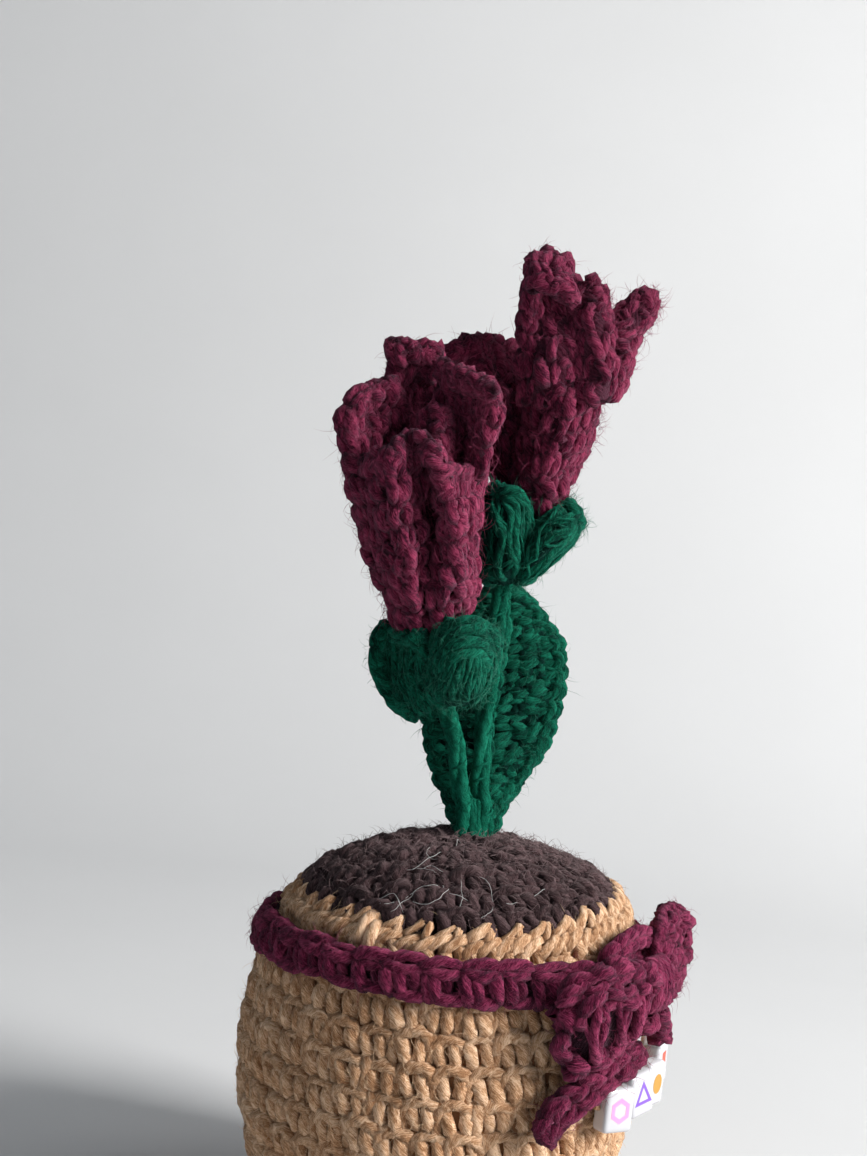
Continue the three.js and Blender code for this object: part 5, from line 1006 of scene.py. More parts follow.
def around(points, off=0.0):
    P = np.array(points, float)[None] + np.zeros((nb, 1, 1))
    P[..., 0] = (P[..., 0] + rng.normal(0, 0.06, (nb, 1)) + i[:, None] + off) / nb
    P[..., 1] += rng.normal(0, 0.03, (nb, 1))
    P[..., 2] += rng.normal(0, 0.10, (nb, 1)) * (P[..., 2] > -0.8)
    return P


vc = 0.80
lay(p, band, around([(-0.15, vc, -1.1), (0.12, vc + 0.05, -0.2), (0.55, vc + 0.15, 0.0), (0.95, vc + 0.12, -0.2), (1.2, vc, -1.0)]), 0.92, K=8, jitter=0.12, vary=0.12)
lay(p, band, around([(-0.15, vc, -1.1), (0.12, vc - 0.06, -0.2), (0.52, vc - 0.17, 0.08), (0.90, vc - 0.13, -0.15), (1.15, vc, -1.0)]), 0.92, K=8, jitter=0.12, vary=0.12)
for x in (0.20, 0.47):
    lay(p, band, around([(x - 0.12, 0.74, -1.0), (x - 0.08, 0.54, -0.2), (x, 0.32, 0.04), (x + 0.09, 0.12, -0.2), (x + 0.13, -0.02, -1.1)]), 1.0, K=7, jitter=0.14, vary=0.12)
# painted shade: this strand is painted much darker
lay(p, band, around([(0.70, 0.74, -1.2), (0.74, 0.52, -0.55), (0.82, 0.30, -0.5), (0.90, 0.05, -1.2)]), 0.95, K=6, jitter=0.14, vary=0.12, painted_dim=0.5)
# painted shade: this strand is painted a little darker
lay(p, band, around([(0.22, 0.26, -1.2), (0.42, 0.10, -0.45), (0.80, 0.05, -0.15), (1.14, 0.09, -0.45), (1.32, 0.26, -1.2)]), 0.96, K=7, jitter=0.14, vary=0.14, painted_dim=0.85)
# the chain that lies over the band's upper edge beside the bow
line = np.array([(21.0, -21.6, 48.4), (23.2, -19.2, 49.9), (25.2, -16.0, 50.7), (27.2, -12.6, 50.6), (28.6, -9.6, 49.6), (29.6, -6.4, 47.6)])
d = spline(line, np.linspace(0, len(line) - 1, 60))
cum = np.concatenate([[0], np.cumsum(np.linalg.norm(np.diff(d, axis=0), axis=1))])
for k in range(7):
    for sgn in (-1, 1):
        w = cum[-1] * (np.array([-0.1, 0.3, 0.7, 1.1, 1.4]) + k) / 7.4
        C = np.stack([np.interp(w, cum, d[:, q]) for q in range(3)], axis=-1)
        n = unit(C * [1, 1, 0.2])
        side = np.cross(n, unit(np.gradient(C, axis=0)))
        C = C + side * (sgn * np.array([0.1, 0.75, 0.85, 0.5, 0.0]))[:, None] + n * np.array([-0.9, 0.1, 0.25, 0.0, -1.0])[:, None]
        C = path(C[None], 9)
        p.strands(C, unit(C * [1, 1, 0.2]), taper(1.0, 9)[None])
finish_piece(p, "crochet_band", TRIM, "burgundy_trim_yarn", "band")

# ---------------------------------------------------------------- bow
def sheet_piece(name, node, grid, material, slot_name, fabric, t=0.9, n=64, core=-0.3):
    s = Patch(grid, n=n)
    # core sets the painted shade on the sheet's core
    p = Piece(core)
    p.sheet(s, t, u0=0.05, u1=0.95, v0=0.02, v1=0.97)
    fabric(p, s)
    finish_piece(p, name, material, slot_name, node)
    return s


ALL = [(0.0, 0.0, 0.0, 1.0), (0.0, 1.0, 1.0, 1.0), (1.0, 1.0, 1.0, 0.0)]


def loop_fabric(p, s):
    """Lumpy stitches along the upper part, a few long open strands with dark windows between them below, where the thin
    core shows in painted shade.
    """
    v_fabric(p, s, 3.0, 3.0, 0.95, faces=(1, -1), h=0.85, jitter=0.25, u_range=(0.05, 0.40), loose=1.8)
    for f in (1, -1):
        for vv, lean in ((0.30, 0.05), (0.53, -0.03), (0.76, 0.03)):
            P = np.zeros((3, 6, 3))
            for q in range(3):
                for a, (uu, w) in enumerate(((0.30, 0.2), (0.42, 0.95), (0.56, 1.0), (0.72, 0.95), (0.86, 0.85), (0.97, 0.1))):
                    P[q, a] = (uu, vv + lean * (uu - 0.6) + (q - 1) * 0.036 + 0.02 * math.sin(uu * 9 + q * 2) + rng.normal(0, 0.006), f * (w + (0.25 if q == 1 else 0)))
            lay(p, s, P, 0.74, K=14, jitter=0.15, face=f, vary=0.15)
    edge_chain(p, s, ALL, 3.2, 1.12, out=-0.45, h=0.85, jitter=0.25)


def right_fabric(p, s):
    v_fabric(p, s, 3.2, 3.0, 0.92, faces=(1, -1), h=0.75, edge=0.1, jitter=0.25, loose=1.7)
    edge_chain(p, s, ALL, 3.2, 1.0, out=-0.55, h=0.7, jitter=0.25)


def tail_fabric(p, s):
    edge_chain(p, s, ALL, 3.4, 0.92, out=-0.6, h=0.75, jitter=0.18)


S_BOW_L = sheet_piece("crochet_bow_left", "bow_loop_left", BOW_LOOP_LEFT, TRIM, "burgundy_trim_yarn", loop_fabric, t=0.5)
S_BOW_R = sheet_piece("crochet_bow_right", "bow_loop_right", BOW_LOOP_RIGHT, TRIM, "burgundy_trim_yarn", right_fabric)
S_TAIL = sheet_piece("crochet_tail_left", "bow_tail_left", BOW_TAIL_LEFT, TRIM, "burgundy_trim_yarn", tail_fabric)
sheet_piece("crochet_tail_right", "bow_tail_right", BOW_TAIL_RIGHT, TRIM, "burgundy_trim_yarn", tail_fabric)

# the knot: yarn wound round the middle of the bow
p = Piece()
ka = math.atan2(KNOT[0], -KNOT[1])
er, et, ez = np.array([math.sin(ka), -math.cos(ka), 0]), np.array([math.cos(ka), math.sin(ka), 0]), np.array([0, 0, 1.0])
a = np.linspace(-2.3, 2.3, 16)
C, N = [], []
for k, off in enumerate((-1.9, -0.65, 0.6, 1.8)):
    ring = np.array(KNOT) + er * (np.cos(a) * 1.75 - 0.3)[:, None] + ez * (np.sin(a) * 3.4)[:, None] + et * (off + 0.25 * np.sin(a * 2 + k))[:, None]
    C.append(ring)
    N.append(er * np.cos(a)[:, None] + ez * np.sin(a)[:, None])
p.strands(np.array(C), np.array(N), taper(0.85, 16)[None])
finish_piece(p, "yarn_bow_knot", TRIM, "burgundy_trim_yarn", "bow_knot")

# ---------------------------------------------------------------- stems
def smooth_path(points, n):
    P = np.array(points, float)
    d = spline(P, np.linspace(0, len(P) - 1, 400))
    c = np.concatenate([[0], np.cumsum(np.linalg.norm(np.diff(d, axis=0), axis=1))])
    w = np.linspace(0, c[-1], n)
    return np.stack([np.interp(w, c, d[:, k]) for k in range(3)], axis=-1), c[-1]


def stem_piece(name, node, points, seed):
    """Three soft strands laid along the wire, bound by thin turns here and there, thicker at the soil."""
    full, _ = smooth_path(points, 400)
    top = full[full[:, 2] > 57.0]
    C, L = smooth_path(top[::8], 72)
    T = unit(np.gradient(C, axis=0))
    ref = unit(np.cross(T, np.array([0, 1.0, 0.05])))
    other = np.cross(T, ref)
    w = np.linspace(0, L, len(C))
    thick = 1.0 + 0.34 * np.exp(-w / 7.0)
    p = Piece()
    p.strands(C[None], ref[None], np.full((1, len(C)), 0.86), S=10, amp=0.0, twist=0.0, swell=0)
    strands, normals = [], []
    for k in range(3):
        ang = k * 2 * math.pi / 3 + w * 0.17 + seed
        r = (0.62 + 0.05 * np.sin(w * 0.9 + k * 2)) * thick
        d = np.cos(ang)[:, None] * ref + np.sin(ang)[:, None] * other
        strands.append(C + d * r[:, None])
        normals.append(d)
    p.strands(np.array(strands), np.array(normals), 0.86 * thick[None] * np.ones((3, 1)), S=9, amp=0.08, twist=0.5, lobes=3)
    # thin binding turns
    turns, tn = [], []
    for w0 in np.arange(2.0, L - 3, 4.3):
        q = np.linspace(0, 1, 14)
        at = w0 + rng.uniform(-1, 1) + q * 2.6
        j = np.interp(at, w, np.arange(len(C)))
        P = np.stack([np.interp(j, np.arange(len(C)), C[:, a]) for a in range(3)], axis=-1)
        A = np.stack([np.interp(j, np.arange(len(C)), ref[:, a]) for a in range(3)], axis=-1)
        B = np.stack([np.interp(j, np.arange(len(C)), other[:, a]) for a in range(3)], axis=-1)
        ang = q * 5.4 + rng.uniform(0, 6)
        d = np.cos(ang)[:, None] * A + np.sin(ang)[:, None] * B
        turns.append(P + d * (1.22 * np.interp(at, w, thick))[:, None])
        tn.append(d)
    p.strands(np.array(turns), np.array(tn), taper(0.26, 14)[None], S=5, amp=0.0)
    finish_piece(p, name, WRAP, "green_wrap_yarn", node)
    return C


C_RIGHT = stem_piece("yarn_stem_right", "stem_right_wrap", STEM_RIGHT, 0.4)
C_LEFT = stem_piece("yarn_stem_left", "stem_left_wrap", STEM_LEFT, 2.2)


def at_height(C, z):
    return np.stack([np.interp(z, C[:, 2], C[:, q]) for q in range(3)], axis=-1)


p = Piece()
z = np.linspace(56.9, 66.5, 20)
t = np.linspace(0, 1, 20)[:, None]
a, b = at_height(C_LEFT, z), at_height(C_RIGHT, z)
C = []
for f0, out in ((0.30, 1.15), (0.52, 1.0), (0.72, 1.15), (0.45, -0.9), (0.6, -0.9)):
    C.append(a * (1 - f0) + b * f0 + np.array([0, -1.0, 0]) * out * (1 - 0.45 * t) + np.array([1.0, 0, 0]) * 0.12 * np.sin(9 * t + 7 * f0))
C = np.array(C)
p.strands(C, np.broadcast_to(np.array([0, -1.0, 0]), C.shape) * np.array([1, 1, 1, -1, -1])[:, None, None], np.linspace(0.95, 0.55, 20)[None] * np.ones((5, 1)), S=8, amp=0.06, twist=0.4, lobes=3)
finish_piece(p, "yarn_stem_foot", WRAP, "green_wrap_yarn")


# ---------------------------------------------------------------- leaf
def leaf_fabric(p, s):
    n = max(8, round(s.length / 2.7))
    for f in (1, -1):
        for j in range(n):
            half_w = s.width_at((j + 0.5) / n) / 2 - 1.6
            cols = max(1, round(half_w / 2.5))
            for half in (-1, 1):
                for c in range(cols):
                    for q in (0, 1):
                        d0 = (0.4 + (c + 0.5 * (1 + rng.normal(0, 0.25)))) / (cols + 0.9) * 0.5
                        vv = (j + 0.25 + 0.5 * q + rng.normal(0, 0.14)) / n
                        ang = rng.normal(0.32, 0.30) if q == 0 else rng.normal(0.02, 0.32)
                        L = rng.uniform(1.2, 1.9)
                        P = np.zeros((1, 5, 3))
                        for k, (t, w) in enumerate(((-1.25, -0.6), (-0.6, 0.22), (0.0, 0.42), (0.6, 0.22), (1.25, -0.6))):
                            P[0, k, 0] = 0.5 + half * (d0 + t * L * math.cos(ang) / (2 * half_w + 3.2))
                            P[0, k, 1] = np.clip(vv + t * L * math.sin(ang) / s.length, 0.004, 0.996)
                            P[0, k, 2] = f * (w + rng.normal(0.05, 0.12) * (w > 0))
                        lay(p, s, P, 0.80, K=6, S=6, jitter=0.16, face=f, ends=0.6, vary=0.14)
        # midrib chain
        i = np.arange(n)
        for sgn in (-1, 1):
            P = np.zeros((n, 4, 3))
            for k, (sv, w, d) in enumerate(((-0.15, 0.1, 0.0), (0.2, 0.8, 0.026), (0.7, 0.8, 0.03), (1.15, 0.1, 0.0))):
                P[:, k, 0] = 0.5 + sgn * d
                P[:, k, 1] = np.clip((i + sv) / n, 0.0, 1.0)
                P[:, k, 2] = f * w
            lay(p, s, P, 0.75, K=8, jitter=0.1, face=f)
    # rounded scallops along the rim
    for (u0, v0, u1, v1) in ALL:
        t = np.linspace(0, 1, 60)
        pts, _ = s.at(u0 + (u1 - u0) * t, v0 + (v1 - v0) * t, 0.0)
        L = np.linalg.norm(np.diff(pts, axis=0), axis=1).sum()
        m = max(1, round(L / 2.9))
        for f in (1, -1):
            for r, (reach, w0, rad) in enumerate(((0.35, 0.30, 0.95), (-0.75, 0.62, 0.85))):
                P = np.zeros((m, 5, 3))
                jig = rng.normal(0, 0.08, m)
                for k, (q, o, w) in enumerate(((-0.05, -1.1, -0.3), (0.14, -0.2, 0.7), (0.5, 0.3, 1.0), (0.86, -0.2, 0.7), (1.05, -1.1, -0.3))):
                    tt = np.clip((np.arange(m) + q + jig) / m, -0.02, 1.02)
                    v = v0 + (v1 - v0) * tt
                    width = np.array([max(1.5, s.width_at(min(1, max(0, a)))) for a in v])
                    if abs(u1 - u0) > abs(v1 - v0):
                        P[:, k, 0] = u0 + (u1 - u0) * tt
                        P[:, k, 1] = v + (1 if v0 > 0.5 else -1) * (o + reach - 0.4) / s.length
                    else:
                        P[:, k, 0] = u0 + (1 if u0 > 0.5 else -1) * (o + reach - 0.4) / width
                        P[:, k, 1] = v
                    P[:, k, 2] = f * w0 * w
                lay(p, s, P, rad, K=8, S=7, jitter=0.12, face=f, ends=0.6, vary=0.1)


sheet_piece("crochet_leaf", "leaf", LEAF, GREEN, "green_leaf_yarn", leaf_fabric)


# ---------------------------------------------------------------- calyx cups and bracts
def cup_piece(name, node, C, length, r0, r1, reach=1.25):
    end = C[-1]
    T = unit(C[-1] - C[-6])
    ref = unit(np.cross(T, np.array([0, 1.0, 0.05])))
    other = np.cross(T, ref)
    p = Piece()
    a = np.arange(20) / 20 * 2 * math.pi
    circle = np.cos(a)[:, None] * ref + np.sin(a)[:, None] * other
    rings = [end + T * (-length + length * t) + circle * (r0 + (r1 - r0) * min(t, 1) - 0.9) for t in np.linspace(0, reach - 0.05, 7)]
    p.shell(np.array(rings))
    m = 12
    P, N = [], []
    for k in range(m):
        t = np.linspace(-0.04, reach, 10)
        ang = k / m * 2 * math.pi + t * 0.5
        d = np.cos(ang)[:, None] * ref + np.sin(ang)[:, None] * other
        r = r0 + (r1 - r0) * np.minimum(t, 1.1) - 0.65
        P.append(end + T * (-length + length * t)[:, None] + d * r[:, None])
        N.append(d)
    R = np.linspace(0.6, 0.95, 10)[None]
    p.strands(np.array(P), np.array(N), R)
    finish_piece(p, name, GREEN, "green_leaf_yarn", node)


cup_piece("crochet_calyx_left", "calyx_left_cup", C_LEFT, 6.0, 2.3, 4.6, reach=1.5)
cup_piece("crochet_calyx_right", "calyx_right_cup", C_RIGHT, 6.0, 2.2, 3.6, reach=1.55)


def bract_fabric(p, s):
    posts(p, s, 1.35, 0.74, faces=(1, -1), v0=0.0, v1=0.95, h=0.45, rows=1, edge=0.07, slant=0.5, wave=0.25, K=18, jitter=0.15)
    posts(p, s, 1.1, 0.30, faces=(1, -1), v0=0.0, v1=0.95, h=0.95, rows=1, edge=0.08, slant=1.5, wave=0.8, S=5, K=14, jitter=0.25)
    edge_chain(p, s, ALL, 3.3, 0.92, out=-0.5, h=0.5, jitter=0.16)


def arc_fabric(p, s):
    """A rolled cap of yarn at the top, loose strands hanging from it."""
    for f in (1, -1):
        m = 4
        P = np.zeros((m, 9, 3))
        for k in range(m):
            rad = 0.62 + 0.38 * (k / (m - 1))
            for q, a in enumerate(np.linspace(-1.30, 1.30, 9)):
                P[k, q, 0] = 0.5 + 0.47 * rad * math.sin(a) / 0.98
                P[k, q, 1] = 0.16 + (0.82 * rad) * max(0.0, math.cos(a)) ** 0.75
                P[k, q, 2] = f * (0.55 + 0.12 * math.sin(k * 2 + 2 * a) - (0.7 if q in (0, 8) else 0))
        lay(p, s, P, 0.84, K=26, jitter=0.12, face=f)
        # strands that fan out from under the cap
        m = 44
        P = np.zeros((m, 6, 3))
        for k in range(m):
            x = rng.uniform(-1, 1)
            bend = rng.normal(0, 0.05)
            for q, t in enumerate(np.linspace(0, 1, 6)):
                P[k, q, 0] = 0.5 + x * (0.16 + 0.26 * t) + bend * math.sin(t * math.pi)
                P[k, q, 1] = 0.66 - 0.62 * t + 0.08 * (1 - abs(x))
                P[k, q, 2] = f * (0.72 + 0.12 * math.sin(k) - (0.6 if q == 5 else 0.25 if q == 0 else 0))
        lay(p, s, P, 0.38, K=12, S=6, jitter=0.2, face=f, vary=0.2)
    edge_chain(p, s, ALL, 3.3, 0.9, out=-0.6, h=0.5, jitter=0.14)


S_BLS = sheet_piece("crochet_bract_left_side", "bract_left_side", BRACT_LEFT_SIDE, GREEN, "green_leaf_yarn", bract_fabric)
S_BLF = sheet_piece("crochet_bract_left_front", "bract_left_front", BRACT_LEFT_FRONT, GREEN, "green_leaf_yarn", arc_fabric)
S_BRF = sheet_piece("crochet_bract_right_front", "bract_right_front", BRACT_RIGHT_FRONT, GREEN, "green_leaf_yarn", bract_fabric)
S_BRS = sheet_piece("crochet_bract_right_side", "bract_right_side", BRACT_RIGHT_SIDE, GREEN, "green_leaf_yarn", bract_fabric)


# ---------------------------------------------------------------- flowers
def tube_piece(name, node, grid):
    s = Patch(grid, closed=True)
    # the tube's core is painted in light shade
    p = Piece(0.15)
    p.cup(s, -1.15, -1.9, v0=0.0, v1=0.97, nu=40, nv=16)
    v_fabric(p, s, 3.2, 3.35, 0.93, faces=(1,), h=-0.76, closed=True, jitter=0.2, loose=1.3)

    class Inner:
        length, closed = s.length, True
        width_at = staticmethod(s.width_at)

        @staticmethod
        def at(u, v, w):
            return s.at(u, v, np.asarray(w) - 2.6)

    v_fabric(p, Inner, 3.5, 3.3, 0.85, faces=(-1,), v0=0.45, h=-0.6, closed=True, jitter=0.12, K=7)
    n = round(s.width_at(1.0) / 3.3)
    i = np.arange(n)

    def rim(points):
        P = np.array(points, float)[None] + np.zeros((n, 1, 1))
        P[..., 0] = (P[..., 0] + rng.normal(0, 0.07, (n, 1)) + i[:, None]) / n
        P[..., 1] = 1.0 + (P[..., 1] + rng.normal(0, 0.16, (n, 1))) / s.length
        P[..., 2] += rng.normal(0, 0.12, (n, 1))
        return P

    lay(p, s, rim([(-0.15, -1.7, -1.4), (0.12, -1.2, -0.55), (0.5, -0.6, -0.5), (0.9, -0.35, -0.95), (1.12, -0.7, -1.5)]), 1.0, jitter=0.14)
    lay(p, s, rim([(-0.15, -1.7, -1.4), (0.12, -1.2, -2.1), (0.5, -0.6, -2.2), (0.9, -0.35, -1.7), (1.12, -0.7, -1.3)]), 1.0, jitter=0.14, face=-1)
    finish_piece(p, name, PETAL, "burgundy_petal_yarn", node)
    return s


def petal_fabric(p, s):
    v_fabric(p, s, 3.1, 3.15, 0.92, faces=(1, -1), h=0.66, edge=0.09, jitter=0.2, loose=1.25)
    edge_chain(p, s, ALL, 3.2, 0.95, out=-0.55, h=0.6, jitter=0.24)


S_FLT = tube_piece("crochet_flower_left", "flower_left_tube", FLOWER_LEFT_TUBE)
S_FRT = tube_piece("crochet_flower_right", "flower_right_tube", FLOWER_RIGHT_TUBE)
PETALS = {}
for node, grid in (
    ("flower_left_petal_left", FLOWER_LEFT_PETAL_LEFT), ("flower_left_petal_back", FLOWER_LEFT_PETAL_BACK),
    ("flower_left_petal_right", FLOWER_LEFT_PETAL_RIGHT), ("flower_left_petal_inner", FLOWER_LEFT_PETAL_INNER),
    ("flower_right_petal_hood", FLOWER_RIGHT_PETAL_HOOD), ("flower_right_petal_ridge", FLOWER_RIGHT_PETAL_RIDGE),
    ("flower_right_petal_right", FLOWER_RIGHT_PETAL_RIGHT), ("flower_right_petal_left", FLOWER_RIGHT_PETAL_LEFT),
    ("flower_right_petal_back", FLOWER_RIGHT_PETAL_BACK),
):
    # the petal cores are painted in light shade
    PETALS[node] = sheet_piece("crochet_" + node[7:], node, grid, PETAL, "burgundy_petal_yarn", petal_fabric, t=1.5, core=0.28)


# ---------------------------------------------------------------- beads
# how each bead hangs on its thread: degrees out of plumb, mm down or up
BEAD_HANG = {1: (-1.5, 0.0), 2: (8.0, -0.3), 3: (-2.5, 0.7), 4: (3.0, 0.0), 5: (-2.0, 0.0)}


def bead_piece(k, angle, facing, height, ink, marks):
    a, g = math.radians(angle), math.radians(facing)
    roll, drop = BEAD_HANG[k]
    where = np.array([math.sin(a), -math.cos(a), 0]) * BEAD_R + np.array([0, 0, height + drop])
    er, et = np.array([math.sin(g), -math.cos(g), 0]), np.array([math.cos(g), math.sin(g), 0])
    centre = Vector(where * MM)
    ro = math.radians(roll)
    ex, ez = et * math.cos(ro) + np.array([0, 0, math.sin(ro)]), np.array([0, 0, math.cos(ro)]) - et * math.sin(ro)
    frame_m = Matrix(((ex[0], er[0], ez[0], centre.x), (ex[1], er[1], ez[1], centre.y), (ex[2], er[2], ez[2], centre.z), (0, 0, 0, 1)))
    import bmesh
    bm = bmesh.new()
    bmesh.ops.create_cube(bm, size=1.0)
    bmesh.ops.scale(bm, vec=(BEAD_W * MM, BEAD_D * MM, BEAD_H * MM), verts=bm.verts)
    bmesh.ops.bevel(bm, geom=bm.edges[:] + bm.verts[:], offset=0.85 * MM, segments=5, profile=0.6, affect="EDGES")
    for f in bm.faces:
        f.smooth = True
        f.material_index = 0
    # a generic mark on the outer face: plain rings and discs with a few sides
    for (sides, r0, r1, phase, up) in marks:
        n = 0.03 * MM
        y = BEAD_D / 2 * MM
        turn = [2 * math.pi * q / sides + phase for q in range(sides)]

        def loop(r, depth):
            return [bm.verts.new((r * MM * math.cos(t), y + depth, (r * math.sin(t) + up) * MM)) for t in turn]

        outer, low = loop(r1, n), loop(r1, -2 * n)
        if r0 > 0:
            inner, ilow = loop(r0, n), loop(r0, -2 * n)
            for q in range(sides):
                r = (q + 1) % sides
                for quad in ((outer[q], inner[q], inner[r], outer[r]), (inner[q], ilow[q], ilow[r], inner[r]), (ilow[q], low[q], low[r], ilow[r]), (low[q], outer[q], outer[r], low[r])):
                    bm.faces.new(quad).material_index = 1
        else:
            bm.faces.new(outer[::-1]).material_index = 1
            bm.faces.new(low).material_index = 1
            for q in range(sides):
                r = (q + 1) % sides
                bm.faces.new((outer[q], outer[r], low[r], low[q])).material_index = 1
    bmesh.ops.transform(bm, matrix=frame_m, verts=bm.verts)
    bmesh.ops.recalc_face_normals(bm, faces=bm.faces[:])
    mesh = bpy.data.meshes.new(f"letterless_bead_{k}")
    bm.to_mesh(mesh)
    bm.free()
    mesh.materials.append(BEAD)
    mesh.materials.append(INK[ink])
    obj = bpy.data.objects.new(f"white_bead_{k}", mesh)
    bpy.context.scene.collection.objects.link(obj)
    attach(obj, "root")
    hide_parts(f"bead_{k}")


UP = math.pi / 2
BEAD_MARKS = (
    ("pink", [(6, 1.15, 1.85, UP, 0.0)]),
    ("violet", [(3, 1.35, 2.3, UP, -0.25)]),
    ("amber", [(24, 0.0, 1.45, 0, 0.0)]),
    ("orange", [(4, 0.0, 1.35, UP / 2, 1.1)]),
    ("blue", [(4, 0.7, 1.5, UP / 2, 0.0)]),
)
for k, ((angle, facing, height), (ink, marks)) in enumerate(zip(BEADS, BEAD_MARKS), 1):
    bead_piece(k, angle, facing, height, ink, marks)

# ---------------------------------------------------------------- stray fibres
p = Piece()
hairs(p, pot, 2100, 0.22, (0.0, 1.04), (1.1, 3.2), 0.025, lie=0.9, curl=0.8)
hairs(p, pot, 1500, 0.15, (0.0, 1.0), (1.1, 3.2), 0.025, lie=0.25, curl=0.8)
hairs(p, pot, 500, 0.2, (0.0, 1.0), (1.5, 3.6), 0.020, lie=0.8, curl=0.9)
finish_piece(p, "fuzz_pot", FUZZ["tan"], "tan_yarn")

p = Piece()
hairs(p, soil, 1500, 0.3, (0.03, 0.97), (0.7, 2.2), 0.034, lie=0.9, curl=0.8)
hairs(p, soil, 1450, 0.15, (0.02, 0.97), (1.1, 3.2), 0.025, lie=0.2, curl=0.8)
finish_piece(p, "fuzz_soil", FUZZ["brown"], "brown_yarn")

# pale curly fibres caught on the soil's front and left
p = Piece()
starts = np.array([(-0.035, 0.84, -1.9), (-0.045, 0.66, -1.3), (-0.055, 0.60, -2.2), (-0.075, 0.44, -1.5), (-0.10, 0.40, 0.2), (-0.095, 0.12, 0.6),
                   (-0.085, 0.10, 0.2), (-0.070, 0.06, 1.0), (-0.055, 0.16, -0.6), (-0.012, 0.12, 0.4), (0.012, 0.08, 1.2), (0.035, 0.17, -0.3), (-0.03, 0.30, -1.2)])
m, K = len(starts), 26
u0, v0 = starts[:, 0], starts[:, 1]
t = np.linspace(0, 1, K)
P = np.zeros((m, K, 3))
for q in range(m):
    heading = starts[q, 2] + np.cumsum(rng.normal(0, 0.22, K) + rng.normal(0.0, 0.04))
    step = rng.uniform(0.16, 0.34)
    P[q, :, 0] = u0[q] + np.cumsum(np.cos(heading) * step) / (2 * math.pi * 20)
    P[q, :, 1] = np.clip(v0[q] + np.cumsum(np.sin(heading) * step) / soil.length, -0.05, 0.97)
    P[q, :, 2] = 0.45 + 0.45 * np.sin(t * rng.uniform(3, 8) + rng.uniform(0, 6))
C, N = soil.at(P[..., 0], P[..., 1], P[..., 2])
p.strands(C, N, np.full((m, K), 0.027), S=4, amp=0.0, twist=0.0, swell=0)
finish_piece(p, "pale_stray_fibres", FUZZ["pale"], "brown_yarn")

p = Piece()
for surf, n, vr in ((S_FLT, 560, (0.02, 1.0)), (S_FRT, 360, (0.02, 1.0))):
    hairs(p, surf, n, 0.35, vr, (0.6, 1.8), 0.026, lie=0.85, curl=0.8)
    hairs(p, surf, n, 0.2, vr, (1.1, 3.2), 0.025, lie=0.15, curl=1.3)
for surf in PETALS.values():
    for side in (1, -1):
        hairs(p, surf, 100, 1.5, (0.1, 1.0), (0.6, 1.8), 0.026, side=side, lie=0.8, curl=0.8)
        hairs(p, surf, 88, 1.4, (0.1, 1.0), (1.1, 3.2), 0.025, side=side, lie=0.15, curl=1.3)
    hairs(p, surf, 90, 0.9, (0.88, 1.02), (1.1, 3.2), 0.025, lie=0.15, curl=1.3)
    hairs(p, surf, 52, 0.9, (0.2, 1.0), (1.1, 3.2), 0.025, lie=0.1, curl=1.3, u_range=(-0.04, 0.06))
    hairs(p, surf, 52, 0.9, (0.2, 1.0), (1.1, 3.2), 0.025, lie=0.1, curl=1.3, u_range=(0.94, 1.04))
finish_piece(p, "fuzz_petals", FUZZ["burgundy"], "burgundy_petal_yarn")

p = Piece()
hairs(p, band, 800, 0.95, (0.0, 1.0), (0.7, 2.2), 0.022, lie=0.85, curl=0.8)
hairs(p, band, 550, 0.7, (-0.1, 1.1), (1.1, 3.2), 0.025, lie=0.15, curl=1.3)
for surf in (S_BOW_L, S_BOW_R, S_TAIL):
    for side in (1, -1):
        hairs(p, surf, 130, 1.5, (0.0, 1.0), (0.7, 2.2), 0.022, side=side, lie=0.85, curl=0.8)
        hairs(p, surf, 120, 1.3, (0.0, 1.0), (1.1, 3.2), 0.025, side=side, lie=0.15, curl=1.3)
finish_piece(p, "fuzz_trim", FUZZ["burgundy"], "burgundy_trim_yarn")

p = Piece()
leaf_s = Patch(LEAF, n=64)
for side in (1, -1):
    hairs(p, leaf_s, 260, 1.3, (0.03, 1.0), (0.7, 2.0), 0.022, side=side, lie=0.85, curl=0.8)
    hairs(p, leaf_s, 200, 1.1, (0.03, 1.0), (1.1, 3.2), 0.025, side=side, lie=0.15, curl=1.3)
hairs(p, leaf_s, 110, 0.5, (0.03, 1.0), (1.1, 3.2), 0.025, lie=0.1, curl=1.3, u_range=(-0.03, 0.03))
hairs(p, leaf_s, 110, 0.5, (0.03, 1.0), (1.1, 3.2), 0.025, lie=0.1, curl=1.3, u_range=(0.97, 1.03))
for surf, n in ((S_BLS, 140), (S_BLF, 330), (S_BRF, 160), (S_BRS, 140)):
    for side in (1, -1):
        hairs(p, surf, n, 1.35, (0.0, 1.0), (0.8, 2.4), 0.026, side=side, lie=0.6, curl=0.8)
        hairs(p, surf, n // 2, 1.1, (0.0, 1.0), (1.1, 3.2), 0.025, side=side, lie=0.1, curl=1.3)
    hairs(p, surf, 70, 0.6, (0.85, 1.03), (1.1, 3.2), 0.025, lie=0.15, curl=1.3)
finish_piece(p, "fuzz_green", FUZZ["green"], "green_leaf_yarn")

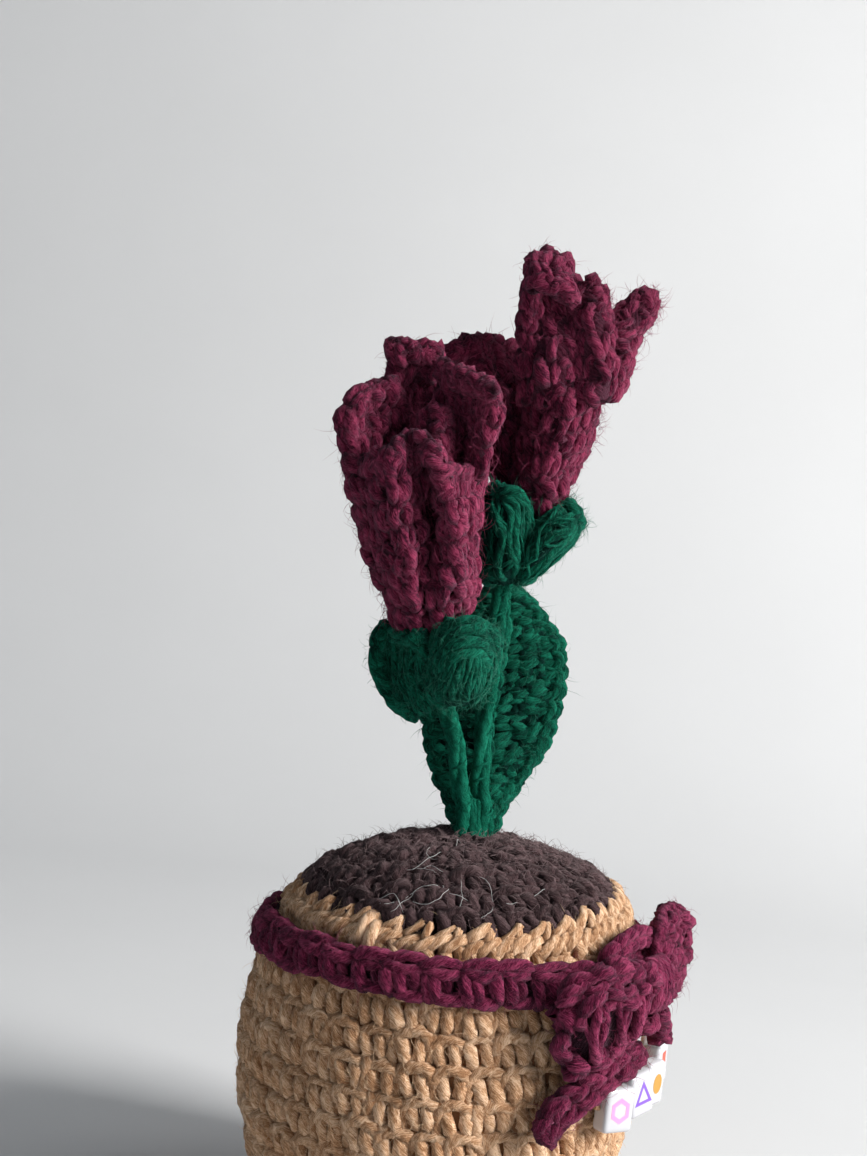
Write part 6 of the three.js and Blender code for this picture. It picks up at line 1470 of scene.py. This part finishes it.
# ---------------------------------------------------------------- floor, light, camera
def studio():
    mesh = bpy.data.meshes.new("backdrop")
    pts, faces = [], []
    prof = [(-1.75, 1.6), (-1.75, 0.3), (-1.72, 0.16), (-1.64, 0.06), (-1.5, 0.0), (0.28, 0.0)]
    for q in range(1, 13):
        a = q / 12 * math.pi / 2
        prof.append((0.28 + 0.25 * math.sin(a), 0.25 - 0.25 * math.cos(a)))
    prof += [(0.53, 1.6)]
    for y, z in prof:
        pts += [(-2.2, y, z), (2.2, y, z)]
    for q in range(len(prof) - 1):
        faces.append((2 * q, 2 * q + 1, 2 * q + 3, 2 * q + 2))
    mesh.from_pydata(pts, [], faces)
    mesh.polygons.foreach_set("use_smooth", [True] * len(faces))
    mat = plain_material("backdrop_paint", (0.56, 0.565, 0.57), 0.85, noise=0.02, scale=8.0, bump=0.02)
    mesh.materials.append(mat)
    o = bpy.data.objects.new("backdrop", mesh)
    bpy.context.scene.collection.objects.link(o)


studio()


def area(name, loc, target, size, power, color=(1, 1, 1)):
    light = bpy.data.lights.new(name, "AREA")
    light.shape = "RECTANGLE"
    light.size, light.size_y = size
    light.energy = power
    light.color = color
    o = bpy.data.objects.new(name, light)
    o.location = loc
    o.rotation_euler = (Vector(target) - Vector(loc)).to_track_quat("-Z", "Y").to_euler()
    bpy.context.scene.collection.objects.link(o)
    return o


area("key", (0.68, -0.30, 0.42), (0, 0, 0.08), (0.36, 0.42), 15.5, (1.0, 0.985, 0.965))
area("fill", (-0.5, -0.8, 0.30), (0, 0, 0.08), (0.9, 0.9), 0.75, (0.86, 0.93, 1.0))
area("wall_wash", (0.75, 0.05, 1.2), (0.42, 0.6, 0.1), (1.2, 0.4), 3.4)
world = bpy.data.worlds.new("room")
world.use_nodes = True
world.node_tree.nodes["Background"].inputs[0].default_value = (0.74, 0.86, 1.0, 1)
world.node_tree.nodes["Background"].inputs[1].default_value = 0.15
bpy.context.scene.world = world

TILT = math.radians(6.0)
cam_data = bpy.data.cameras.new("photo_camera")
cam_data.sensor_width = 36.0
cam_data.lens = 1690.0 / 1156.0 * 36.0
cam_data.clip_start = 0.01
cam_data.clip_end = 20.0
cam = bpy.data.objects.new("photo_camera", cam_data)
c, s_ = math.cos(TILT), math.sin(TILT)
cam.matrix_world = Matrix(((c, -s_, 0, -8.74 * MM), (0, 0, -1, -260 * MM), (s_, c, 0, 99.6 * MM), (0, 0, 0, 1)))
bpy.context.scene.collection.objects.link(cam)
bpy.context.scene.camera = cam
bpy.context.scene.view_settings.view_transform = "Standard"

counts = {o.name: sum(len(q.vertices) - 2 for q in o.data.polygons) for o in made}
print("triangles added", sum(counts.values()), counts)
